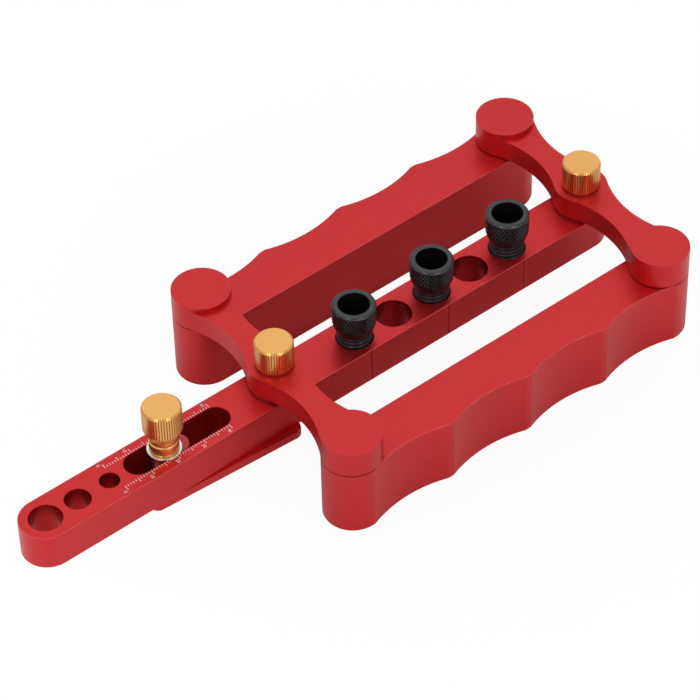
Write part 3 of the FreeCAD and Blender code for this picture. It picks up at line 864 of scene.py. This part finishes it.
class JIG_OT_links(bpy.types.Operator):
    """Mill the two links: a hub and two raised lobes joined by hollow sides"""

    bl_idname = "jig.links"
    bl_label = "Links"

    def execute(self, context):
        sizes = context.scene.jig_link
        link = self.blank(sizes)
        dress(link, *red_finishes())
        height = LINK_HIGH.z - LINK_LOW.z

        def outer_rim(edge):
            """True on the discs' and the underside's rims, and on the web's, but not at a disc's foot."""
            if is_level(edge, 0, height):
                return True
            inner = [abs((point.co.xy - Vector((0, math.copysign(sizes.span / 2, point.co.y)))).length
                         - sizes.lobe) < 2 * MERGE for point in edge.verts]
            return is_level(edge, sizes.web) and not all(inner)

        # The break comes out about 0.04 mm wide here.
        break_edges(link, context.scene.jig_bar.edge_break, outer_rim)
        bore = drill_bit(sizes.bore / 2, -OVER, height + OVER)
        threads = [drill_bit(sizes.thread / 2, -OVER, sizes.thread_depth, 0, side * sizes.span / 2, 32)
                   for side in (-1, 1)]
        drill(link, bore, *threads)
        smooth(link)
        place(link, HINGES["front_link_turn"].x, 0, LINK_LOW.z, sizes.lean)
        other = copy_of(link, "rear_link_milled")
        place(other, HINGES["rear_link_turn"].x - HINGES["front_link_turn"].x)
        fit(link, "front_link", "red_anodised", "front_link")
        fit(other, "rear_link", "red_anodised", "rear_link")
        return {"FINISHED"}

    def blank(self, sizes):
        """Web and two discs, raised from one sheet that is divided along the discs' inner rims."""
        half = sizes.span / 2
        hub, lobe, hollow = sizes.hub, sizes.lobe, sizes.hollow
        along = (half ** 2 + (hub + hollow) ** 2 - (lobe + hollow) ** 2) / (2 * half)
        aside = math.sqrt((hub + hollow) ** 2 - along ** 2)
        to_hub = math.degrees(math.atan2(along, aside))
        to_lobe = math.degrees(math.atan2(half - along, aside))
        corner = Vector((lobe * math.cos(math.radians(-to_lobe)), lobe * math.sin(math.radians(-to_lobe))))
        outer, inner = 180 + 2 * to_lobe, 180 - 2 * to_lobe
        outer_steps, inner_steps, hollow_steps, hub_steps = 44, 28, 24, 10

        pencil = Pencil("front_link_milled", corner.x, half + corner.y)
        for side in (1, -1):
            pencil.arc(0, side * half, -inner, inner_steps)
            pencil.arc(-side * aside, side * along, -to_lobe - to_hub, hollow_steps)
            pencil.arc(0, 0, 2 * to_hub, hub_steps)
            pencil.arc(-side * aside, -side * along, -to_lobe - to_hub, hollow_steps)
        link = pencil.close()
        fill(link)
        discs = []
        for side in (1, -1):
            pencil = Pencil("link_disc", side * corner.x, side * (half + corner.y))
            pencil.arc(0, side * half, outer, outer_steps)
            pencil.arc(0, side * half, inner, inner_steps)
            disc = pencil.close()
            fill(disc)
            discs.append(disc)
        join(link, *discs)
        edit(link)
        select_all()
        bpy.ops.mesh.remove_doubles(threshold=MERGE)
        raise_up(link, sizes.web)
        edit(link, "FACE")
        nearly_level, near_pivot = 0.9, half - 2 * MM

        def is_disc(face):
            middle = face.calc_center_median()
            return (abs(face.normal.z) > nearly_level and abs(middle.z - sizes.web) < MERGE
                    and abs(middle.y) > near_pivot)

        select_faces(link, is_disc)
        bpy.ops.mesh.extrude_region_move(
            TRANSFORM_OT_translate={"value": (0, 0, LINK_HIGH.z - LINK_LOW.z - sizes.web)})
        face_out()
        deselect_all()
        return link


class JIG_OT_rails(bpy.types.Operator):
    """Mill the two rails: straight inside, scalloped outside, recessed for their pivot screws"""

    bl_idname = "jig.rails"
    bl_label = "Rails"

    def execute(self, context):
        sizes = context.scene.jig_rail
        end = context.scene.jig_link.lobe
        half = HINGES["rear_link_turn"].x
        height = LEFT_RAIL_HIGH.z - LEFT_RAIL_LOW.z
        pitch = 2 * half / sizes.scallops
        centre_y = end - sizes.scallop_depth + sizes.scallop_radius
        reach = math.sqrt(sizes.scallop_radius ** 2 - (centre_y - end) ** 2)
        sweep = math.degrees(2 * math.asin(reach / sizes.scallop_radius))

        pencil = Pencil("left_rail_milled", -half, -end)
        pencil.line(half, -end)
        pencil.arc(half, 0, 180, 40)
        for scallop in range(sizes.scallops):
            middle = half - pitch * (scallop + 0.5)
            pencil.line(middle + reach, end)
            pencil.arc(middle, centre_y, -sweep, 20)
        pencil.line(-half, end)
        pencil.arc(-half, 0, 180, 40)
        rail = block(pencil, height)
        dress(rail, *red_finishes())

        # The ridges between scallops are softened before the rims are broken.
        ridge_angle = math.radians(15)
        edit(rail, "EDGE")
        select_edges(rail, lambda edge: edge.is_manifold and not is_level(edge, 0, height)
                     and edge.calc_face_angle() > ridge_angle)
        bpy.ops.mesh.bevel(offset=sizes.ridge_round, segments=3, affect="EDGES")
        deselect_all()
        edge_break = context.scene.jig_bar.edge_break
        break_edges(rail, edge_break, lambda edge: is_level(edge, 0, height))
        drill(rail, *[self.counterbore(sizes, height, edge_break, x) for x in (-half, half)])
        smooth(rail)
        centre = (LEFT_RAIL_LOW + LEFT_RAIL_HIGH) / 2
        pivot = Vector((centre.x, LEFT_RAIL_HIGH.y - end))
        other = copy_of(rail, "right_rail_milled")
        place(rail, pivot.x, pivot.y, LEFT_RAIL_LOW.z)
        place(other, -pivot.x, -pivot.y, LEFT_RAIL_LOW.z, math.pi)
        fit(rail, "left_rail", "red_anodised", "left_rail")
        fit(other, "right_rail", "red_anodised", "right_rail")
        return {"FINISHED"}

    def counterbore(self, sizes, height, chamfer, x):
        """Stepped cutter of a screw's recess and pivot hole, chamfered where it enters and leaves."""
        recess, hole = sizes.recess / 2, sizes.pivot_hole / 2
        section = [
            (0, -OVER), (recess + chamfer + OVER, -OVER), (recess, chamfer), (recess, sizes.recess_depth),
            (hole, sizes.recess_depth), (hole, height - chamfer), (hole + chamfer + OVER, height + OVER),
            (0, height + OVER),
        ]
        return place(turned("counterbore", section, 64), x)


class JIG_OT_knobs(bpy.types.Operator):
    """Turn and flute the two link knobs and the arm knob"""

    bl_idname = "jig.knobs"
    bl_label = "Thumb knobs"

    def execute(self, context):
        sizes = context.scene.jig_knob
        shoulder = sizes.shoulder / 2
        waist = shoulder - sizes.waist
        bore = context.scene.jig_bar.stud_hole / 2
        foot_bevel, bore_bevel, bore_depth = 0.35 * MM, 0.2 * MM, 6 * MM
        # Levels on the arm knob: its flange's upper bevel, its waist, and where the shoulder goes on.
        flange_side, flange_top, waist_low, waist_high, neck = (
            3.6 * MM, 4.0 * MM, 4.15 * MM, 5.45 * MM, 5.65 * MM)
        arm_under = [
            (bore, bore_depth), (bore, bore_bevel), (bore + bore_bevel, 0), (shoulder - foot_bevel, 0),
            (shoulder, foot_bevel), (shoulder, flange_side), (shoulder - 0.3 * MM, flange_top),
            (waist, waist_low), (waist, waist_high), (shoulder, neck),
        ]
        for end in ("front", "rear", "arm"):
            foot, radius, length = axis_of(f"{end}_knob")
            seat = length - sizes.head
            under = [(0, 0), (shoulder - 0.3 * MM, 0), (shoulder, 0.3 * MM), (shoulder, seat)]
            if end == "arm":
                under = arm_under
            knob = self.fluted_knob(f"{end}_thumb_knob", under, seat, radius, length, sizes)
            place(knob, *foot)
            dress(knob, gold_anodised(f"gold_anodised_{end}_knob", foot), gold_flutes(), gold_polished())
            self.paint_sides(knob, foot, radius, seat, length, sizes)
            fit(knob, f"{end}_knob", "gold_anodised", f"{end}_knob")
        return {"FINISHED"}

    def fluted_knob(self, name, under, seat, radius, top, sizes):
        """Turned knob with V flutes from its lower edge up to the bevel, and plain lands between."""
        steps_per_flute = 6
        steps = sizes.flutes * steps_per_flute
        chamfer = 0.4 * MM
        low, high = seat + chamfer, top - sizes.bevel
        section = under + [
            (radius - chamfer, seat), (radius, low), (radius, high), (radius - sizes.bevel, top), (0, top)]
        knob = turned(name, section, steps)
        edit(knob)

        def in_flute(spot):
            step = round(math.atan2(spot.y, spot.x) % math.tau / math.tau * steps)
            return (low - MERGE < spot.z < high + MERGE and spot.xy.length > radius - MERGE
                    and step % steps_per_flute == 0)

        select_points(knob, in_flute)
        widen(1 - sizes.flute_depth / radius)
        deselect_all()
        smooth(knob, 32, weighted=False)
        return knob

    def paint_sides(self, knob, foot, radius, seat, length, sizes):
        """Polishes all of a placed knob but its top, then darkens the valleys of its flutes with painted
        shade.
        """
        low, high, top = foot.z + seat, foot.z + length - sizes.bevel, foot.z + length

        def in_valley(face):
            middle = face.calc_center_median()
            sunk = radius - (middle.xy - foot.xy).length
            return low < middle.z < high and 0.25 * sizes.flute_depth < sunk < sizes.flute_depth

        paint(knob, POLISH, lambda face: face.calc_center_median().z < top - MERGE)
        # The valleys take the darker flute finish: painted shade.
        paint(knob, FLUTE, in_valley)


class JIG_OT_bushes(bpy.types.Operator):
    """Turn, thread and knurl the three drill guide bushes"""

    bl_idname = "jig.bushes"
    bl_label = "Drill bushes"

    def execute(self, context):
        sizes = context.scene.jig_bush
        _, radius, length = axis_of("middle_bush")
        sleeve = self.sleeve(sizes, radius, length)
        join(sleeve, self.knurl(sizes, radius, length), self.thread(sizes))
        sleeve.name = sleeve.data.name = "middle_drill_bush"
        smooth(sleeve, 28, weighted=False)
        # The ring is the same black oxide 2.2 times lighter: painted light on the bush's top.
        dress(sleeve, black_oxide(), black_oxide("black_oxide_ring_painted_light", 2.2))
        ring, mouth = length - sizes.bevel, sizes.bore / 2 + 0.1 * MM

        def in_ring(face):
            middle = face.calc_center_median()
            return middle.z > ring and middle.xy.length > mouth

        paint(sleeve, RING, in_ring)
        copies = {"middle": sleeve}
        for end in ("front", "rear"):
            copies[end] = copy_of(sleeve, f"{end}_drill_bush")
        # Each bush stopped turning this many degrees on from the one before.
        turn_step = 23
        for turn, (end, bush) in enumerate(copies.items()):
            place(bush, *axis_of(f"{end}_bush")[0], math.radians(turn_step * turn))
            fit(bush, f"{end}_bush", "blackened_steel", f"{end}_bush")
        return {"FINISHED"}

    def sleeve(self, sizes, radius, length):
        """Bored sleeve with a cone, a head and a rounded, smooth top."""
        bore, root, bevel = sizes.bore / 2, sizes.root, sizes.bevel
        under_knurl = radius - sizes.knurl_depth - 0.02 * MM
        waist = sizes.crest - 0.05 * MM
        ring = length - bevel
        section = [
            (bore, length - 0.5 * MM), (bore, 0.4 * MM), (bore + 0.4 * MM, 0), (root, 0),
            (root, sizes.cone_start - 0.7 * MM), (waist, sizes.cone_start - 0.4 * MM),
            (waist, sizes.cone_start),
            (under_knurl, sizes.cone_end), (under_knurl, ring - 0.1 * MM), (radius - 0.06 * MM, ring),
        ]
        steps = 6
        for step in range(1, steps):
            angle = math.radians(90 * step / steps)
            section.append((radius - bevel + bevel * math.cos(angle), ring + bevel * math.sin(angle)))
        section += [
            (radius - bevel, length), (bore + 0.5 * MM, length),
            (bore + 0.15 * MM, length - 0.15 * MM), (bore, length - 0.5 * MM),
        ]
        return turned("bush_sleeve", section, 96)

    def knurl(self, sizes, radius, length):
        """Band of diamond pyramids: a grid is poked, its own lines are dissolved, and each diamond rises."""
        low, high = sizes.knurl_start, length - sizes.bevel - 0.12 * MM
        rise = (high - low) / sizes.diamond_rows
        root = radius - sizes.knurl_depth
        deselect_all()
        bpy.ops.mesh.primitive_circle_add(vertices=sizes.diamonds, radius=root, location=(0, 0, low))
        bpy.ops.object.transform_apply(location=True)
        band = bpy.context.active_object
        edit(band, "EDGE")
        select_all()
        for row in range(sizes.diamond_rows):
            bpy.ops.mesh.extrude_region_move(TRANSFORM_OT_translate={"value": (0, 0, rise)})
        # The lowest rows follow the cone.
        slope = (root - sizes.crest) / (sizes.cone_end - sizes.cone_start)
        for row in range(sizes.diamond_rows):
            level = low + row * rise
            if level < sizes.cone_end:
                select_points(band, lambda spot, level=level: abs(spot.z - level) < MERGE)
                widen(1 - slope * (sizes.cone_end - level) / root)
        face_out()
        bpy.ops.mesh.poke()
        levels = [low + row * rise for row in range(sizes.diamond_rows + 1)]

        def on_grid(point):
            return any(abs(point.co.z - level) < MERGE for level in levels)

        select_edges(band, lambda edge: edge.is_manifold and all(on_grid(point) for point in edge.verts))
        bpy.ops.mesh.dissolve_edges(use_verts=False)
        # Poked middles lie on the flats of the grid; they go out to the round.
        edit(band)
        select_points(band, lambda spot: spot.xy.length < root - MERGE)
        widen(1 / math.cos(math.pi / sizes.diamonds))
        bpy.ops.mesh.select_mode(type="FACE")
        select_faces(band, lambda face: len(face.verts) == 4)
        bpy.ops.mesh.poke(offset=sizes.knurl_depth)
        deselect_all()
        return band

    def thread(self, sizes):
        """Helical ridge of the thread, screwed up from its section."""
        turns = int((sizes.cone_start - 1.4 * MM) / sizes.pitch)
        start = sizes.cone_start - 0.9 * MM - turns * sizes.pitch
        foot, crest = sizes.root - 0.1 * MM, sizes.crest - 0.02 * MM
        pencil = Pencil("bush_thread", foot, 0, start)
        # Corners of the ridge: radius, and height above the start in pitches.
        for radius, rise in ((crest, 0.32), (crest, 0.48), (foot, 0.8)):
            pencil.line(radius, 0, start + rise * sizes.pitch)
        ridge = pencil.close()
        hold(ridge)
        bpy.ops.object.modifier_add(type="SCREW")
        screw = ridge.modifiers[-1]
        screw.axis = "Z"
        screw.angle = math.tau
        screw.screw_offset = sizes.pitch
        screw.iterations = turns
        screw.steps = screw.render_steps = 48
        bpy.ops.object.modifier_apply(modifier=screw.name)
        edit(ridge)
        select_all()
        bpy.ops.mesh.remove_doubles(threshold=MERGE)
        face_out()
        deselect_all()
        return ridge


class JIG_OT_washers(bpy.types.Operator):
    """Turn the washers under the knobs and rails, and the spacers under the links"""

    bl_idname = "jig.washers"
    bl_label = "Washers and spacers"

    def execute(self, context):
        bore = context.scene.jig_link.bore / 2
        pivot = context.scene.jig_rail.pivot_hole / 2
        stud = context.scene.jig_bar.stud_hole / 2
        for end in ("front", "rear"):
            self.washer(f"{end}_knob_washer", f"{end}_knob_washer", bore)
            self.washer(f"{end}_spacer", "bar", bore)
            for side in ("left", "right"):
                self.washer(f"{end}_{side}_rail_washer", f"{end}_link", pivot)
        self.washer("arm_washer", "arm_washer", stud)
        return {"FINISHED"}

    def washer(self, node, body, bore):
        """Flat ring with rolled edges in the place of a CAD washer."""
        _, radius, thickness = axis_of(node)
        rolled_share = 0.3
        edge = thickness * rolled_share
        ring = turned(f"{node}_rolled", [
            (bore, edge), (bore + edge, 0), (radius - edge, 0), (radius, edge), (radius, thickness - edge),
            (radius - edge, thickness), (bore + edge, thickness), (bore, thickness - edge), (bore, edge),
        ], 72)
        smooth(ring, 50)
        seat(ring, body, "bright_steel", bright_zinc(), node)


class JIG_OT_screws(bpy.types.Operator):
    """Turn the pivot screws, the knobs' studs and the stop's countersunk stud"""

    bl_idname = "jig.screws"
    bl_label = "Screws and studs"

    def execute(self, context):
        for end in ("front", "rear"):
            for side in ("left", "right"):
                self.pivot_screw(f"{end}_{side}_pivot_screw", f"{end}_link")
            node = f"{end}_knob_stud"
            stud = self.stud(f"{end}_threaded_stud", *axis_of(node)[1:])
            seat(stud, f"{end}_knob", "bright_steel", bright_zinc(), node)
        _, head, length = axis_of("stop_stud")
        stud = self.stop_stud("stop_countersunk_stud", head, length, context.scene.jig_knob.stud / 2)
        seat(stud, "stop_carriage", "bright_steel", bright_zinc(), "stop_stud")
        return {"FINISHED"}

    def hexagon(self, depth):
        """Cutter of a hexagon socket that opens downwards."""
        deselect_all()
        bpy.ops.mesh.primitive_cylinder_add(
            vertices=6, radius=SOCKET / math.sqrt(3), depth=depth + OVER,
            location=(0, 0, (depth - OVER) / 2))
        bpy.ops.object.transform_apply(location=True)
        return bpy.context.active_object

    def threaded(self, radius, low, high, pitch):
        """Section corners of a thread from low to high."""
        depth = pitch * 0.4
        corners = []
        height = low
        while height + pitch <= high:
            corners += [(radius - depth, height), (radius, height + pitch / 2)]
            height += pitch
        return corners + [(radius - depth, height), (radius - depth, high)]

    def pivot_screw(self, node, body):
        """Shoulder screw: head with a hexagon socket, plain shoulder and thread."""
        _, head, length = axis_of(node)
        shoulder, thread, tip = 3.0 * MM, 2.5 * MM, 0.6 * MM
        head_end, thread_start, socket = 4.5 * MM, length - 6 * MM, 2.5 * MM
        section = [
            (0, 0), (head - 0.5 * MM, 0), (head - 0.15 * MM, 0.15 * MM), (head, 0.5 * MM),
            (head, head_end - 0.2 * MM), (head - 0.2 * MM, head_end), (shoulder, head_end),
            (shoulder, thread_start), *self.threaded(thread, thread_start, length - 0.3 * MM, 0.8 * MM),
            (thread - tip, length), (0, length),
        ]
        screw = turned(f"{node}_turned", section, 64)
        drill(screw, self.hexagon(socket))
        smooth(screw, 40)
        seat(screw, body, "blackened_steel", black_oxide(), node)

    def stud(self, name, radius, length):
        """Threaded rod with chamfered ends."""
        chamfered, lead, pitch = radius - 0.7 * MM, 0.3 * MM, 1 * MM
        section = [
            (0, 0), (chamfered, 0), *self.threaded(radius, lead, length - lead, pitch),
            (chamfered, length), (0, length),
        ]
        rod = turned(name, section, 48)
        smooth(rod, 40)
        return rod

    def stop_stud(self, name, head, length, radius):
        """Countersunk head with a hexagon socket and a thread up to the arm knob."""
        rim, sink, thread_start, pitch, socket = 0.25 * MM, 2.5 * MM, 4 * MM, 1 * MM, 1.8 * MM
        section = [
            (0, 0), (head, 0), (head, rim), (radius, sink), (radius, thread_start),
            *self.threaded(radius, thread_start, length - 0.4 * MM, pitch),
            (radius - 0.7 * MM, length), (0, length),
        ]
        stud = turned(name, section, 48)
        drill(stud, self.hexagon(socket))
        smooth(stud, 40)
        return stud


class JIG_OT_stop(bpy.types.Operator):
    """Mill the stop plate under the arm, with the key that runs in the slot"""

    bl_idname = "jig.stop"
    bl_label = "Stop plate"

    def execute(self, context):
        sizes = context.scene.jig_stop
        half = sizes.width / 2
        corner = sizes.corner
        front, rear = -sizes.front, sizes.rear
        pencil = Pencil("stop_plate_milled", front + corner, -half)
        pencil.line(rear - corner, -half)
        pencil.arc(rear - corner, -half + corner, 90, 12)
        pencil.line(rear, half - corner)
        pencil.arc(rear - corner, half - corner, 90, 12)
        pencil.line(front + corner, half)
        pencil.arc(front + corner, half - corner, 90, 12)
        pencil.line(front, -half + corner)
        pencil.arc(front + corner, -half + corner, 90, 12)
        plate = block(pencil, sizes.thickness)
        dress(plate, *red_finishes(), red_slot())
        edge_break = context.scene.jig_bar.edge_break
        plate_share = 0.8
        break_edges(
            plate, edge_break * plate_share, lambda edge: is_level(edge, 0, sizes.thickness), FACE)

        # The key reaches down into the plate that it is fused with.
        root = 0.5 * MM
        key = round_ended("stop_key", 0, sizes.key_offset, sizes.key_radius,
                          sizes.thickness - root, sizes.key_top + root, 32)
        dress(key, *plate.data.materials)
        top = sizes.key_top + sizes.thickness
        break_edges(key, edge_break, lambda edge: is_level(edge, top))
        # The key takes the darker slot finish: painted shade down in the slot.
        paint(key, SLOT, lambda face: True)
        join(plate, key)
        stud, sink_depth = context.scene.jig_bar.stud_hole / 2, 2.5 * MM
        mouth = stud + sink_depth
        sink = turned("countersink", [
            (0, -OVER), (mouth, -OVER), (mouth, 0), (stud, sink_depth), (stud, top + OVER),
            (0, top + OVER)], 48)
        self.unite(plate)
        drill(plate, sink)
        smooth(plate)
        place(plate, *axis_of("stop_stud")[0], sizes.skew)
        fit(plate, "stop_plate", "red_anodised", "stop_plate")
        return {"FINISHED"}

    def unite(self, piece):
        """Fuses the key with the plate it stands on."""
        edit(piece, "FACE")
        select_all()
        bpy.ops.mesh.intersect_boolean(operation="UNION", use_self=True, solver="EXACT")
        deselect_all()


class JIG_OT_stage(bpy.types.Operator):
    """Set the white floor, the soft lamps and the camera"""

    bl_idname = "jig.stage"
    bl_label = "Stage"

    def execute(self, context):
        sizes = context.scene.jig_stage
        # The paper lies a hair under the rails, so that no two faces share a plane.
        floor_level, floor_size = LEFT_RAIL_LOW.z - 0.02 * MM, 6.0
        deselect_all()
        bpy.ops.mesh.primitive_plane_add(size=floor_size, location=(0, 0, floor_level))
        floor = bpy.context.active_object
        floor.name = "paper_floor"
        bpy.ops.object.transform_apply(location=True)
        floor.data.materials.append(floor_paper())

        # Width and length of a strip and height of a low panel in metres; the front panel's share of power.
        strip, panel_height, front_share = (0.07, 0.4), 0.16, 0.6
        self.lamp("overhead_softbox", (0.15, 0.35, 1.0), 1.6, 1.4, sizes.key_power)
        self.lamp("left_strip", (-0.85, -0.30, 0.75), *strip, sizes.fill_power)
        self.lamp("right_strip", (-0.10, -0.9, 0.75), *strip, sizes.fill_power)
        self.lamp("low_right_panel", (-0.05, -1.1, 0.14), 1.5, panel_height, sizes.low_power)
        self.lamp("low_front_panel", (-1.2, 0.0, 0.14), 1.2, panel_height, sizes.low_power * front_share)
        self.sky(context.scene, sizes.sky)
        self.camera(context.scene, sizes)
        return {"FINISHED"}

    def lamp(self, name, location, width, length, power):
        """Rectangular soft lamp that faces the jig."""
        deselect_all()
        bpy.ops.object.light_add(type="AREA", location=location)
        lamp = bpy.context.active_object
        lamp.name = lamp.data.name = name
        lamp.data.shape = "RECTANGLE"
        lamp.data.size, lamp.data.size_y = width, length
        lamp.data.energy = power
        lamp.rotation_mode = "QUATERNION"
        lamp.rotation_quaternion = (-Vector(location)).to_track_quat("-Z", "Y")
        lamp.visible_camera = False

    def sky(self, scene, strength):
        """Even pale light all round, seen as pure white behind the jig."""
        world = bpy.data.worlds.new("white_studio")
        scene.world = world
        world.use_nodes = True
        tree = world.node_tree
        tree.nodes.clear()
        ray = add_node(tree, "ShaderNodeLightPath")
        seen = add_node(tree, "ShaderNodeMix", {
            "Factor": ray.outputs["Is Camera Ray"], 2: strength, 3: 1.0}, data_type="FLOAT")
        light = add_node(tree, "ShaderNodeBackground", {
            "Color": linear("#FFFFFF"), "Strength": seen.outputs[0]})
        add_node(tree, "ShaderNodeOutputWorld", {"Surface": light.outputs["Background"]})

    def camera(self, scene, sizes):
        """Long lens, looking down on the jig from its right front."""
        azimuth, elevation, roll = sizes.azimuth, sizes.elevation, sizes.roll
        look = Vector((math.sin(azimuth) * math.cos(elevation),
                       math.cos(azimuth) * math.cos(elevation), -math.sin(elevation)))
        level = Vector((math.cos(azimuth), -math.sin(azimuth), 0))
        upright = level.cross(look)
        right = math.cos(roll) * level + math.sin(roll) * upright
        up = math.cos(roll) * upright - math.sin(roll) * level
        deselect_all()
        bpy.ops.object.camera_add(location=Vector(sizes.aim) - look * sizes.distance)
        camera = bpy.context.active_object
        camera.rotation_mode = "QUATERNION"
        camera.rotation_quaternion = Matrix((right, up, -look)).transposed().to_quaternion()
        # The picture's middle lies beside the lens's axis, by these shares of the picture's width.
        shift, sensor_width, clip_end = (-0.00506, 0.00239), 36, 20
        camera.data.lens = sizes.lens
        camera.data.sensor_width = sensor_width
        camera.data.shift_x, camera.data.shift_y = shift
        camera.data.clip_end = clip_end
        scene.camera = camera
        scene.view_settings.view_transform = "Standard"


class JIG_PT_pieces(bpy.types.Panel):
    """Lists the jig's pieces"""

    bl_idname = "JIG_PT_pieces"
    bl_label = "Doweling jig"
    bl_space_type = "VIEW_3D"
    bl_region_type = "UI"
    bl_category = "Doweling jig"

    def draw(self, context):
        for operator in OPERATORS:
            self.layout.operator(operator.bl_idname)


GROUPS = {
    "jig_bar": JigBarSizes,
    "jig_scale": JigScaleSizes,
    "jig_link": JigLinkSizes,
    "jig_rail": JigRailSizes,
    "jig_knob": JigKnobSizes,
    "jig_bush": JigBushSizes,
    "jig_stop": JigStopSizes,
    "jig_finishes": JigFinishes,
    "jig_stage": JigStageSizes,
}
OPERATORS = (
    JIG_OT_stage, JIG_OT_bar, JIG_OT_scale, JIG_OT_links, JIG_OT_rails, JIG_OT_knobs, JIG_OT_bushes,
    JIG_OT_washers, JIG_OT_screws, JIG_OT_stop,
)


def register():
    for name, group in GROUPS.items():
        bpy.utils.register_class(group)
        setattr(bpy.types.Scene, name, PointerProperty(type=group))
    for cls in (*OPERATORS, JIG_PT_pieces):
        bpy.utils.register_class(cls)


def unregister():
    for cls in (JIG_PT_pieces, *reversed(OPERATORS)):
        bpy.utils.unregister_class(cls)
    for name, group in reversed(list(GROUPS.items())):
        delattr(bpy.types.Scene, name)
        bpy.utils.unregister_class(group)


def main():
    """Makes the stage and every piece."""
    register()
    bpy.ops.jig.stage()
    bpy.ops.jig.bar()
    bpy.ops.jig.scale()
    bpy.ops.jig.links()
    bpy.ops.jig.rails()
    bpy.ops.jig.knobs()
    bpy.ops.jig.bushes()
    bpy.ops.jig.washers()
    bpy.ops.jig.screws()
    bpy.ops.jig.stop()


if __name__ == "__main__":
    main()
